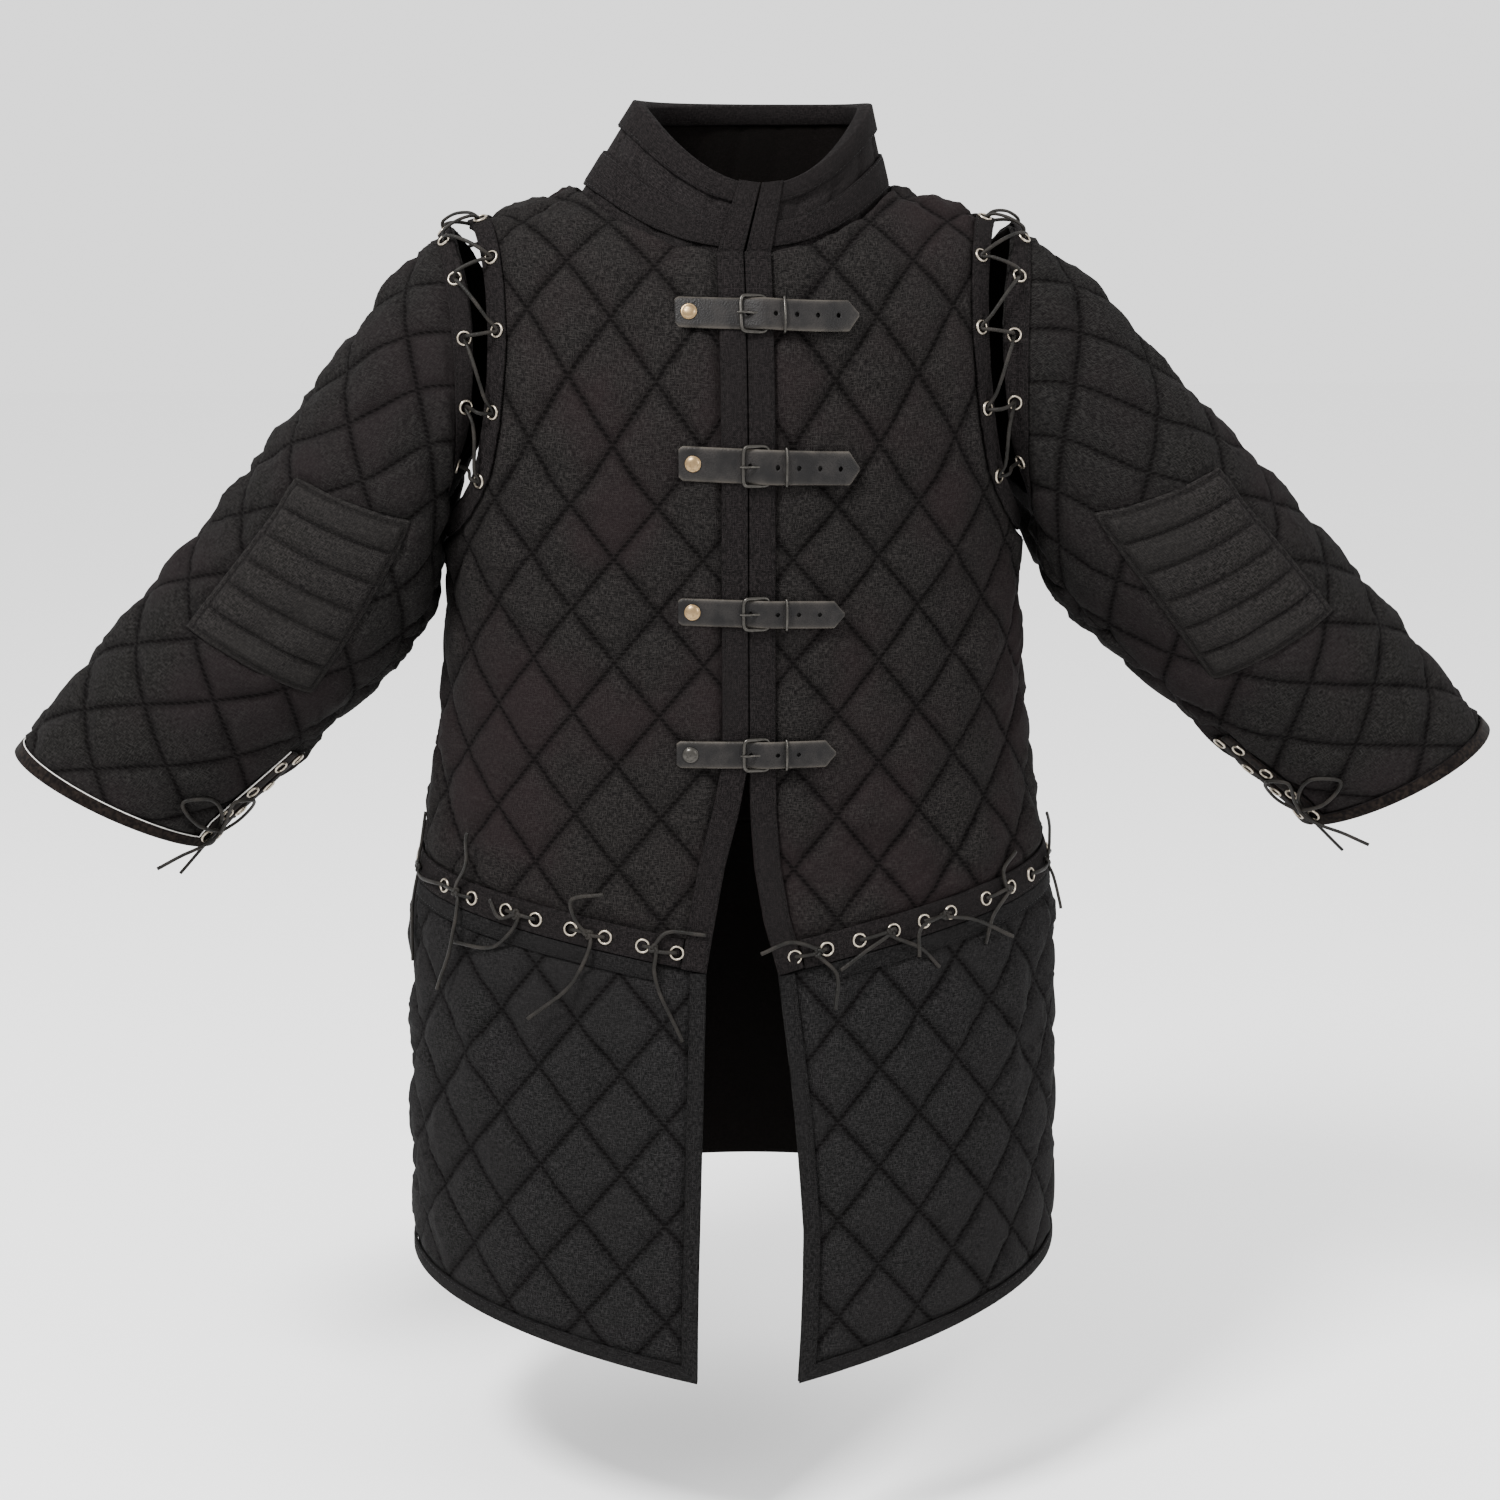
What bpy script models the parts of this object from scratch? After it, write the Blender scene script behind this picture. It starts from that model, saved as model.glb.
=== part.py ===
"""Quilted arming coat with laced sleeves and a laced-on skirt, filled out as it is worn.

The front faces -Y, the wearer's right is -X and the origin lies level with the neck points
of the shoulders, on the centre line, where the wearer's shoulders hold the coat up.
Every cloth piece is cut flat first. Its flat place is (s, t, height) in millimetres: s runs
round the body or the arm, t runs down it, and height stands out from the inner face.
The flat piece is then carried onto the surface of the worn coat.
"""

import math

import bmesh
import bpy
import numpy as np

# The wall, in millimetres
WALL_SEAM = 5.0  # along the stitched lines
WALL_PUFF = 9.0  # at the top of a quilted diamond
WALL_BAND = 4.9  # where a flat band lies on the wall
GAP = 0.3  # between two pieces
LIFT = 0.5  # between a panel and what lies on it
WAIST_BACK_LIFT = 0.8  # more, because the back curves both ways there
HALF_GAP = GAP / 2
WELD = 0.004  # corners this close are one
STRIP_STEP = 40.0  # length of one facet along a band
SEAM_STEP = 15.0
BAND_THICK = 2.5
STRIP_THICK = 3.7
LATTICE = (65.0, 77.0)  # width and height of a diamond on the body
SLEEVE_LATTICE = (70.0, 70.0)

# The body, measured outside. Columns: drop below the neck points, half width, depth to the
# front and depth to the back
BODY_ROWS = np.array([
    (0, 224, 140, 118),
    (110, 223, 145, 120),
    (200, 224, 149, 124),
    (300, 225, 152, 127),
    (360, 229, 154, 130),
    (440, 237, 158, 136),
    (490, 247, 164, 145),
    (530, 255, 170, 154),
    (600, 258, 178, 166),
    (720, 262, 188, 180),
    (810, 263, 193, 188),
    (920, 263, 198, 194),
], float)
# The two halves of the body. fall: drop at which the bend of the shoulder ends. turn: length
# of that bend on the centre line. rise: how much shorter it is at the shoulder's tip. hollow:
# how far the armhole is cut in
FRONT = {"side": -1, "column": 2, "fall": 200.0, "turn": 291.0, "rise": 100.0, "hollow": 20.0}
BACK = {"side": 1, "column": 3, "fall": 110.0, "turn": 193.0, "rise": 88.0, "hollow": 38.0}
RISE_REACH = 260.0
SHOULDER_SLOPE = 0.31
RIDGE_REACH = 125.0
RIDGE_ROUND = 40.0
LEVEL_MM = 1000.0

NECK_SIDE = 122.0
NECK_FRONT = 145.0
NECK_BACK = 86.0
SHOULDER_TIP = 206.0
UNDERARM_DROP = 240.0
WAIST_DROP = 524.0
WAIST_DIP = 44.0  # extra drop of the waist seam at the front edge
HEM_DROP = 836.0
HEM_DIP = 54.0
DIP_POWER = 1.5
WAIST_GAP = 0.4
# How far each front stands from the centre line. Columns: drop, wearer's right, wearer's left
FRONT_EDGE = np.array([
    (0, 0.3, 0.3),
    (405, 0.3, 0.3),
    (450, 9, 1),
    (490, 20, 4),
    (530, 27, 11),
    (570, 33, 21),
    (665, 36, 32),
    (760, 39, 39),
    (820, 41, 38),
    (900, 42, 34),
], float)

FRONT_STRIP = 19.0
STRIP_SHORT = 1.5  # where the slanted waist seam would cut its corner
WAIST_BAND = 22.0
HEM_BAND = 12.0
ARMHOLE_BAND = 16.0
BED_LONGER = 1.3  # how much a band's bed reaches past the band's ends
BED_WIDER = 0.4

# The sleeve on the wearer's left, measured outside. Columns: x and z of the upper side, x and z
# of the lower side, half depth, and how much further to the wearer's left both sleeves lie
SLEEVE_ROWS = np.array([
    (209, -15, 238, -236, 72, 0),
    (258, -57, 242, -289, 79, 6),
    (321, -126, 255, -325, 81, 14),
    (386, -197, 294, -366, 78, 20),
    (450, -266, 339, -410, 74, 22),
    (512, -335, 386, -452, 70, 23),
    (560, -390, 419, -480, 68, 24),
    (586, -420, 433, -496, 69, 25),
], float)
SLEEVE_LENGTH = 558.0
HEAD_RISE = 104.0
HEAD_HOLLOW = (24.0, 46.0)  # how far the head's edge is cut in, front and back
HEAD_REACH = 0.4  # share of the arm's length over which that ends
SEAM_TURN = math.radians(20)  # how far the arm seam lies in front of the lowest line
SLIT_LENGTH = 120.0
SLIT_HALF = 4.0
SEAM_INSET = 0.25
CUFF_BAND = 11.0
EDGING_LOW = WALL_BAND + 1.5 * LIFT
PAD_LENGTH = 153.0
PAD_WIDTH = 100.0
PAD_CHANNELS = 6
PAD_THICK = 2.5
PAD_BED = 0.8  # how much wider its bed is
CHANNEL_RISE = (3.2, 1.4)  # at the middle of a channel and at its ends
CHANNEL_INSIDE = 0.45
PAD_MIDDLE = (0.30, 305.0)  # share of the arm's round, and t

COLLAR_WALL = 6.5
COLLAR_GROOVE = 1.5  # depth of a stitched line between two channels
COLLAR_HEIGHT = 70.0
COLLAR_LEAN = 14.0  # how far the top leans to the wearer's left
COLLAR_TOP = {"half_width": 82.0, "front": 74.0, "back": 63.0, "front_z": 8.0, "side_z": 66.0}
COLLAR_CHANNEL = 36.0
COLLAR_BAND = (9.0, 34.0)
COLLAR_BAND_THICK = 2.0
BINDING = 19.0
BINDING_INSIDE = 12.0
BINDING_OVER = 2.5

STRAP_WIDTH = 20.0
STRAP_THICK = 2.5
STRAP_STEP = 13.0
STRAP_LOW = 9.3
# The four straps. Columns: drop of the middle line, start, end, and how much lower the tip is
STRAPS = np.array([
    (80, -50, 80, 5),
    (184, -49, 79, 5),
    (292, -50, 68, 4),
    (398, -52, 62, 1),
], float)
BUCKLE_AT = 5.0
BUCKLE_WIDTH = 21.0
BUCKLE_TALL = 26.0
BUCKLE_WIRE = 1.4
CHAPE_END = 56.0
CHAPE_HALF = 9.0
CHAPE_THICK = 2.2
SLOT_HALF = 2.2  # of the prong's slot in the strap
PRONG = 1.1
PRONG_RISE = 1.3
KEEPER_AT = 26.0
KEEPER_ROOM = 0.8  # beside the strap
KEEPER_WIRE = 1.2
KEEPER_HALF = 2.0

THONG = 3.0
THONG_HIGH = WALL_PUFF + LIFT + THONG / 2
KNOT_HIGH = WALL_BAND + LIFT + BAND_THICK + LIFT + THONG / 2  # where a thong lies on a band
# The ties of the waist. x: place across the front. first and last: the two tails, as steps
# across and down from the knot, from the knot to the tip
TIES = {
    "side_right": {"x": -241, "first": [(3, -20), (4, -42)], "last": [(-7, 32), (-10, 74)]},
    "right_1": {"x": -212, "first": [(15, -22), (22, -48)], "last": [(1, 32), (-11, 74)]},
    "right_2": {"x": -168, "first": [(-15, 4), (-23, -8)], "last": [(-16, 24), (-60, 30)]},
    "right_3": {"x": -117, "first": [(-10, -24), (15, -31)], "last": [(-7, 30), (-43, 66)]},
    "right_4": {"x": -70, "first": [(6, -10), (38, -11)], "last": [(0, 16), (20, 69)]},
    "left_1": {"x": 49, "first": [(-20, -9), (-43, -2)], "last": [(12, 16), (10, 42)]},
    "left_2": {"x": 104, "first": [(-20, 12), (-40, 25)], "last": [(25, 16), (39, 31)]},
    "left_3": {"x": 145, "first": [(20, 5), (56, 24)], "last": [(-24, 6), (-27, 26)]},
    "left_4": {"x": 198, "first": [(-6, -14), (10, -26)], "last": [(-18, 16), (-26, 36)]},
    "side_left": {"x": 236, "first": [(-4, -24), (-20, -40)], "last": [(-1, 8), (-6, 34)]},
}
TIE_PIECES = 8
TAIL_LIFT = 10.0
LACE_INSET = 9.0
# Where the armhole's lace starts and ends: -1 is the underarm in front, 0 the shoulder's tip and
# 1 the underarm behind
LACE_FIRST, LACE_LAST = -0.705, 0.57
LACE_PERIOD = 0.15
LACE_PIECES = 34
LACE_RISE = 1.5  # how much higher the lace lies on the sleeve
LACE_BULGE = 4.5  # how much higher still between two eyelets
# The cuff's lace from end to end, as steps across and down from the knot
BOW = [
    (6, 56), (2, 26), (0, 6), (-8, -14), (-30, -32), (-44, -20), (-24, -2), (0, 0),
    (10, -18), (2, -44), (-12, -40), (-6, -12), (-2, 8), (-16, 34), (-22, 52),
]
BOW_KNOT = (-9.0, -26.0)  # from the middle of the cuff's slit, at the hem
BOW_PIECES = 26

COLOURS = {
    "canvas": ("2a2624", 0.9, 0.0),
    "skirt canvas": ("222326", 0.9, 0.0),
    "band": ("242120", 0.85, 0.0),
    "suede": ("1c1816", 0.95, 0.0),
    "leather": ("33322f", 0.5, 0.0),
    "steel": ("8a8378", 0.35, 1.0),
    "thong": ("2e2c29", 0.7, 0.0),
}


def clear_scene():
    for thing in list(bpy.data.objects):
        bpy.data.objects.remove(thing, do_unlink=True)


def collection_for(name):
    made = bpy.data.collections.new(name)
    bpy.context.scene.collection.children.link(made)
    return made


def material(name):
    """The Principled material of that name, made once."""
    if name in bpy.data.materials:
        return bpy.data.materials[name]
    colour, roughness, metallic = COLOURS[name]
    made = bpy.data.materials.new(name)
    made.use_nodes = True
    shader = made.node_tree.nodes["Principled BSDF"]
    shares = [int(colour[at:at + 2], 16) / 255 for at in (0, 2, 4)]
    shader.inputs["Base Color"].default_value = (*(share ** 2.2 for share in shares), 1)
    shader.inputs["Roughness"].default_value = roughness
    shader.inputs["Metallic"].default_value = metallic
    made.diffuse_color = shader.inputs["Base Color"].default_value
    return made


def smooth(at, places, values):
    """A smooth curve through a table, read at any places along it."""
    slopes = np.gradient(values, places)
    row = np.clip(np.searchsorted(places, at, side="right") - 1, 0, len(places) - 2)
    width = places[row + 1] - places[row]
    x = np.clip((at - places[row]) / width, 0, 1)
    start, end = values[row], values[row + 1]
    a = slopes[row] * width - (end - start)
    b = -slopes[row + 1] * width + (end - start)
    past = at - np.clip(at, places[0], places[-1])
    straight = past * np.where(past < 0, slopes[0], slopes[-1])
    return start * (1 - x) + end * x + x * (1 - x) * (a * (1 - x) + b * x) + straight


def points_along(route, pieces, corner=0):
    """A smooth curve through the route's points, in equal pieces before and after a corner."""
    route = np.asarray(route, float)
    lengths = np.linalg.norm(np.diff(route, axis=0), axis=1)
    along = np.concatenate([[0], np.cumsum(lengths)])
    first = round(pieces * along[corner] / along[-1])
    before = np.linspace(0, along[corner], first + 1)
    at = np.concatenate([before[:-1], np.linspace(along[corner], along[-1], pieces - first + 1)])
    return np.stack([smooth(at, along, column) for column in route.T], axis=1)


def even_points(line, step):
    """Points along a line of straight pieces, its corners kept, no more than a step apart."""
    made = [line[:1]]
    for start, end in zip(line[:-1], line[1:]):
        count = max(1, math.ceil(np.linalg.norm(end - start) / step))
        made.append(start + (end - start) * (np.arange(1, count + 1) / count)[:, None])
    return np.concatenate(made)


def body_at(angle, level, half):
    """Point of the inner face. The angle is 0 on the centre line and a quarter turn at the side.
    The level is 0 on top of the shoulder and 1 where its bend ends."""
    bend = np.clip(level, 0, 1) * math.pi / 2
    drop = half["fall"] + np.maximum(level - 1, 0) * LEVEL_MM
    width = smooth(drop, BODY_ROWS[:, 0], BODY_ROWS[:, 1]) - WALL_PUFF
    depth = smooth(drop, BODY_ROWS[:, 0], BODY_ROWS[:, half["column"]]) - WALL_PUFF
    x = width * np.sin(angle)
    ridge = SHOULDER_SLOPE * (RIDGE_REACH - np.hypot(x, RIDGE_ROUND))
    y = half["side"] * depth * np.sin(bend) * np.cos(angle)
    z = (half["fall"] + ridge) * np.cos(bend) - drop
    return np.stack(np.broadcast_arrays(x, y, z), axis=-1)


ANGLES = np.radians(np.arange(0, 97))
SIDE = 90  # the row of ANGLES that is the side seam
LEVELS = np.concatenate([np.linspace(0, 1, 21), 1 + np.linspace(0.02, 0.84, 42)])


def arc_table(half):
    """Length round the body from the centre line to each angle, a row for each level."""
    rows = []
    for level in LEVELS:
        points = body_at(ANGLES, level, half)
        steps = np.linalg.norm(np.diff(points, axis=0), axis=1)
        rows.append(np.concatenate([[0], np.cumsum(steps)]))
    return np.array(rows)


for body_half in (FRONT, BACK):
    body_half["arcs"] = arc_table(body_half)


def bend_length(s, half):
    return half["turn"] - shoulder_line(s, half)


def shoulder_line(s, half):
    """t of the shoulder seam."""
    return half["rise"] * np.sin(np.minimum(np.abs(s) / RISE_REACH, 1) * math.pi / 2) ** 2


def level_at(s, t, half):
    bend = 1 - (half["turn"] - t) / bend_length(s, half)
    return np.where(t < half["turn"], np.maximum(bend, 0), 1 + (t - half["turn"]) / LEVEL_MM)


def body_surface(s, t, half):
    """Point of the body's inner face at (s, t), s negative on the wearer's right."""
    size = np.abs(s)
    level = level_at(size, t, half)
    place = np.interp(level, LEVELS, np.arange(len(LEVELS)))
    low = np.minimum(place.astype(int), len(LEVELS) - 2)
    share = place - low
    every = np.array([np.interp(size, arcs, ANGLES) for arcs in half["arcs"]])
    point = np.arange(len(size))
    angle = every[low, point] * (1 - share) + every[low + 1, point] * share
    made = body_at(angle, level, half)
    made[:, 0] *= np.where(s < 0, -1, 1)
    return made


def t_of_drop(drop, half):
    return half["turn"] + drop - half["fall"]


def side_seam(drop, half):
    """s of the side seam at a drop below the shoulder's bend."""
    level = 1 + (drop - half["fall"]) / LEVEL_MM
    return np.interp(level, LEVELS, half["arcs"][:, SIDE])


def s_of_x(x, drop, half):
    """s of the point that lies x from the centre line, at a drop below the shoulder's bend."""
    level = 1 + (drop - half["fall"]) / LEVEL_MM
    width = np.interp(drop, BODY_ROWS[:, 0], BODY_ROWS[:, 1]) - WALL_PUFF
    row = half["arcs"][np.argmin(np.abs(LEVELS - level))]
    return math.copysign(np.interp(math.asin(min(abs(x) / width, 1)), ANGLES, row), x)


def ellipse_round(a, b):
    return math.pi * (3 * (a + b) - np.sqrt((3 * a + b) * (a + 3 * b)))


def sleeve_places():
    """Share of the way down the arm at each row of the sleeve."""
    middle = (SLEEVE_ROWS[:, :2] + SLEEVE_ROWS[:, 2:4]) / 2
    along = np.concatenate([[0], np.cumsum(np.linalg.norm(np.diff(middle, axis=0), axis=1))])
    return along / along[-1]


SLEEVE_PLACES = sleeve_places()


def sleeve_row(share):
    """Upper point, lower point and half depth of the inner face at a share of the way down."""
    upper_x, upper_z, lower_x, lower_z, depth = (
        smooth(share, SLEEVE_PLACES, column) for column in SLEEVE_ROWS[:, :5].T
    )
    upper, lower = np.stack([upper_x, upper_z], -1), np.stack([lower_x, lower_z], -1)
    across = upper - lower
    inward = WALL_PUFF * across / np.linalg.norm(across, axis=-1, keepdims=True)
    return upper - inward, lower + inward, depth - WALL_PUFF


def sleeve_round(share):
    upper, lower, depth = sleeve_row(share)
    return ellipse_round(np.linalg.norm(upper - lower, axis=-1) / 2, depth)


HEAD_ROUND = float(sleeve_round(np.array(0.0)))
SEAM_SHIFT = HEAD_ROUND * SEAM_TURN / (2 * math.pi)


def head_line(s):
    """t of the sleeve head's edge. It is lowest in number at the top of the shoulder."""
    turn = 2 * math.pi * (s - SEAM_SHIFT) / HEAD_ROUND
    return HEAD_RISE * (1 - np.cos(turn))


def sleeve_surface(s, t, side):
    """Point of the sleeve's inner face. s is 0 a little behind the upper line."""
    head = head_line(s)
    share = (t - head) / (SLEEVE_LENGTH - head)
    upper, lower, depth = sleeve_row(share)
    turn = 2 * math.pi * s / sleeve_round(share) - SEAM_TURN
    middle, reach = (upper + lower) / 2, (upper - lower) / 2
    flat = middle + reach * np.cos(turn)[:, None]
    hollow = np.where(np.sin(turn) > 0, *HEAD_HOLLOW) * np.sin(turn) ** 2
    hollow *= np.maximum(1 - share / HEAD_REACH, 0) ** 2
    x = side * (flat[:, 0] - hollow) + smooth(share, SLEEVE_PLACES, SLEEVE_ROWS[:, 5])
    return np.stack([x, -depth * np.sin(turn), flat[:, 1]], axis=1)


def body_frame(half):
    return lambda s, t: body_surface(s, t, half), half["side"]


def sleeve_frame(side):
    return lambda s, t: sleeve_surface(s, t, side), side


def placed(flat, frame):
    """World places, in metres, of flat places (s, t, height) in millimetres."""
    surface, facing = frame
    s, t, height = np.asarray(flat, float).T
    step = 0.5
    across = surface(s + step, t) - surface(s - step, t)
    down = surface(s, t + step) - surface(s, t - step)
    normal = facing * np.cross(across, down)
    normal /= np.linalg.norm(normal, axis=1, keepdims=True)
    return (surface(s, t) + normal * height[:, None]) / 1000


def linked(name, mesh, finish):
    made = bpy.data.objects.new(name, mesh)
    if finish:
        mesh.materials.clear()
        mesh.materials.append(material(finish))
        coat.objects.link(made)
    else:
        made.hide_render = True
        made.display_type = "WIRE"
        cutters.objects.link(made)
    return made


def mesh_of(shape, name):
    mesh = bpy.data.meshes.new(name)
    shape.to_mesh(mesh)
    shape.free()
    return mesh


def slab(name, cells, low, high, finish=None):
    """A flat closed slab over cells that share corners, each a list of (s, t)."""
    shape = bmesh.new()
    corners = {}
    for cell in cells:
        ring = []
        for s, t in cell:
            key = (round(s, 3), round(t, 3))
            if key not in corners:
                corners[key] = shape.verts.new((s, t, low))
            ring.append(corners[key])
        shape.faces.new(ring)
    made = bmesh.ops.extrude_face_region(shape, geom=shape.faces[:])
    lifted = [item for item in made["geom"] if isinstance(item, bmesh.types.BMVert)]
    bmesh.ops.translate(shape, vec=(0, 0, high - low), verts=lifted)
    bmesh.ops.recalc_face_normals(shape, faces=shape.faces[:])
    return linked(name, mesh_of(shape, name), finish)


def evaluated_mesh(thing):
    graph = bpy.context.evaluated_depsgraph_get()
    return bpy.data.meshes.new_from_object(thing.evaluated_get(graph))


def combine(thing, other, operation):
    """Applies one Boolean to the thing and removes the other object. The manifold solver is used
    because the exact one leaves open edges where a band's bed meets the panel's outline."""
    step = thing.modifiers.new(operation.lower(), "BOOLEAN")
    step.solver = "MANIFOLD"
    step.operation = operation
    step.object = other
    made = evaluated_mesh(thing)
    thing.modifiers.clear()
    thing.data = made
    bpy.data.objects.remove(other, do_unlink=True)


def diamonds(low, high, size):
    """Diamond cells that cover a rectangle of the flat cloth."""
    width, tall = size
    cells = []
    for row in range(math.floor(2 * low[1] / tall) - 1, math.ceil(2 * high[1] / tall) + 2):
        for column in range(math.floor(2 * low[0] / width) - 1, math.ceil(2 * high[0] / width) + 2):
            if (row + column) % 2:
                s, t = column * width / 2, row * tall / 2
                cells.append([
                    (s - width / 2, t), (s, t - tall / 2), (s + width / 2, t), (s, t + tall / 2),
                ])
    return cells


def puff_up(thing, rise):
    """Raises the middle of every cell of a slab's outer face."""
    shape = bmesh.new()
    shape.from_mesh(thing.data)
    outer = [face for face in shape.faces if face.normal.z > 0.5]
    bmesh.ops.poke(shape, faces=outer, offset=rise)
    shape.to_mesh(thing.data)
    shape.free()


def offset_line(line, distance):
    """The line moved sideways, with mitred corners."""
    steps = np.diff(line, axis=0)
    steps /= np.linalg.norm(steps, axis=1)[:, None]
    sides = np.stack([-steps[:, 1], steps[:, 0]], axis=1)
    before, after = np.vstack([sides[:1], sides]), np.vstack([sides, sides[-1:]])
    mitre = (before + after) / (1 + (before * after).sum(axis=1))[:, None]
    return line + distance * mitre


def band_cells(line, near, far):
    """Cells between two lines that run beside the given one."""
    one, other = offset_line(line, near), offset_line(line, far)
    return [[one[i], one[i + 1], other[i + 1], other[i]] for i in range(len(line) - 1)]


def wrap(thing, frame):
    """Carries a flat object onto a frame's surface."""
    shape = bmesh.new()
    shape.from_mesh(thing.data)
    bmesh.ops.remove_doubles(shape, verts=shape.verts[:], dist=WELD)
    bmesh.ops.dissolve_degenerate(shape, edges=shape.edges[:], dist=WELD)
    bmesh.ops.triangulate(shape, faces=shape.faces[:])
    for vertex, place in zip(shape.verts, placed([v.co[:] for v in shape.verts], frame)):
        vertex.co = place
    if shape.calc_volume(signed=True) < 0:
        bmesh.ops.reverse_faces(shape, faces=shape.faces[:])
    shape.to_mesh(thing.data)
    shape.free()
    return thing


def quilted_panel(name, outline, lattice, lowered, frame, finish="canvas"):
    """A quilted panel cut along its outline, flat under each lowered band of cells."""
    low, high = outline.min(axis=0), outline.max(axis=0)
    panel = slab(name, diamonds(low, high, lattice), 0, WALL_SEAM, finish)
    puff_up(panel, WALL_PUFF - WALL_SEAM)
    combine(panel, slab("outline", [outline], -2, WALL_PUFF + 2), "INTERSECT")
    for cells in lowered:
        combine(panel, slab("band bed", cells, WALL_BAND, WALL_PUFF + 2), "DIFFERENCE")
    return wrap(panel, frame)


def band(name, line, width, half, thick=BAND_THICK, lift=LIFT):
    """A flat band that lies on a panel of the body along a line of its edge."""
    low = WALL_BAND + lift
    cells = trimmed(band_cells(line, 0, width), half)
    return wrap(slab(name, cells, low, low + thick, "band"), body_frame(half))


def bed(line, width):
    """The cells that a band's bed lowers, a little wider and longer than the band."""
    reach = math.copysign(1, width)
    ends = []
    for near, after in ((line[0], line[1]), (line[-1], line[-2])):
        ends.append(near + BED_LONGER * (near - after) / np.linalg.norm(near - after))
    longer = np.concatenate([[ends[0]], line[1:-1], [ends[1]]])
    return band_cells(longer, -reach, width + BED_WIDER * reach)


def trimmed(cells, half):
    """The cells, with no corner past the side seam or over the shoulder seam."""
    made = []
    for cell in cells:
        ring = []
        for s, t in cell:
            drop = max(half["fall"] + t - half["turn"], half["fall"])
            most = side_seam(drop, half) - HALF_GAP if t > half["turn"] else 1e3
            size = min(abs(s), most)
            ring.append((math.copysign(size, s), max(t, shoulder_line(size, half) + HALF_GAP)))
        made.append(ring)
    return made


def front_edge(drop, side):
    return np.interp(drop, FRONT_EDGE[:, 0], FRONT_EDGE[:, 1 if side < 0 else 2])


def waist_drop(s, half, seam):
    dip = WAIST_DIP if half is FRONT else 0
    return WAIST_DROP + dip * np.maximum(1 - s / seam, 0) ** DIP_POWER


def hem_drop(s, half, seam):
    dip = HEM_DIP if half is FRONT else 0
    return HEM_DROP + dip * np.maximum(1 - s / seam, 0) ** DIP_POWER


def front_drop_t(t):
    """Drop below the neck points, along the front edge, for a t of the front."""
    return np.where(t < FRONT["turn"], 0, FRONT["fall"] + t - FRONT["turn"])


def neck_line(half, count=9):
    """The neck's edge from the shoulder seam to the centre line."""
    deep = NECK_FRONT if half is FRONT else NECK_BACK
    turn = np.linspace(0, math.pi / 2, count)
    high = shoulder_line(NECK_SIDE, half) + HALF_GAP
    return np.stack([NECK_SIDE * np.cos(turn), high + (deep - high) * np.sin(turn)], axis=1)


def armhole_line(half, count=13):
    """The armhole's edge from the shoulder's tip to the side seam."""
    turn = np.linspace(0, math.pi / 2, count)
    high = shoulder_line(SHOULDER_TIP, half) + HALF_GAP
    low = t_of_drop(UNDERARM_DROP, half)
    reach = side_seam(UNDERARM_DROP, half) - HALF_GAP - SHOULDER_TIP
    s = SHOULDER_TIP + reach * (1 - np.cos(turn)) ** 1.2 - half["hollow"] * np.sin(2 * turn)
    return np.stack([s, high + (low - high) * np.sin(turn)], axis=1)


def seam_line(half, top, bottom):
    """The side seam, from a drop down to another."""
    drop = np.linspace(top, bottom, max(2, round((bottom - top) / SEAM_STEP)))
    return np.stack([side_seam(drop, half) - HALF_GAP, t_of_drop(drop, half)], axis=1)


def level_line(half, start, drop_rule, drop_near):
    """A line round the body, from s at the centre to the side seam."""
    seam = side_seam(drop_near, half)
    drop = drop_rule(seam, half, seam)
    end = side_seam(drop, half) - HALF_GAP
    s = np.linspace(start, end, max(2, math.ceil((end - start) / STRIP_STEP)) + 1)
    return np.stack([s, t_of_drop(drop_rule(s, half, seam), half)], axis=1)


def edge_line(side, top, bottom):
    """The front edge of one front, from one t to another."""
    t = even_points(np.array([[0, top], [0, bottom]]), STRIP_STEP)[:, 1]
    return np.stack([front_edge(front_drop_t(t), side), t], axis=1)


def mirrored(points, side):
    return np.asarray(points) * (side, 1)


def make_front(side, word):
    """One front of the body, with the strip down its edge and the band along its waist."""
    neck = neck_line(FRONT)
    start = float(front_edge(WAIST_DROP + WAIST_DIP, side))
    waist = level_line(FRONT, start, waist_drop, WAIST_DROP)
    edge = edge_line(side, NECK_FRONT, waist[0, 1])
    neck = neck[:-1]
    armhole = armhole_line(FRONT)
    sides = seam_line(FRONT, UNDERARM_DROP, WAIST_DROP)
    shoulder = np.linspace(SHOULDER_TIP, NECK_SIDE, 4)[1:-1]
    top = np.stack([shoulder, shoulder_line(shoulder, FRONT) + HALF_GAP], axis=1)
    outline = np.concatenate([edge, waist[1:], sides[::-1][1:], armhole[::-1][1:], top, neck])
    first = start + FRONT_STRIP + 2 * GAP
    inner = waist[waist[:, 0] > first + 2]
    first_t = np.interp(first, waist[:, 0], waist[:, 1])
    band_line = np.concatenate([[[first, first_t]], inner])
    beds = [bed(edge, -FRONT_STRIP), bed(band_line, -WAIST_BAND), bed(armhole, ARMHOLE_BAND)]
    frame = body_frame(FRONT)
    flip = [[[(side * s, t) for s, t in cell] for cell in cells] for cells in beds]
    quilted_panel("front_" + word, mirrored(outline, side), LATTICE, flip, frame)
    strip = np.concatenate([edge[:-1], [edge[-1] - (0, STRIP_SHORT)]])
    band("front_strip_" + word, mirrored(strip, side), -side * FRONT_STRIP, FRONT, STRIP_THICK)
    band("waist_band_front_" + word, mirrored(band_line, side), -side * WAIST_BAND, FRONT)
    band("armhole_band_front_" + word, mirrored(armhole, side), side * ARMHOLE_BAND, FRONT)


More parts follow.
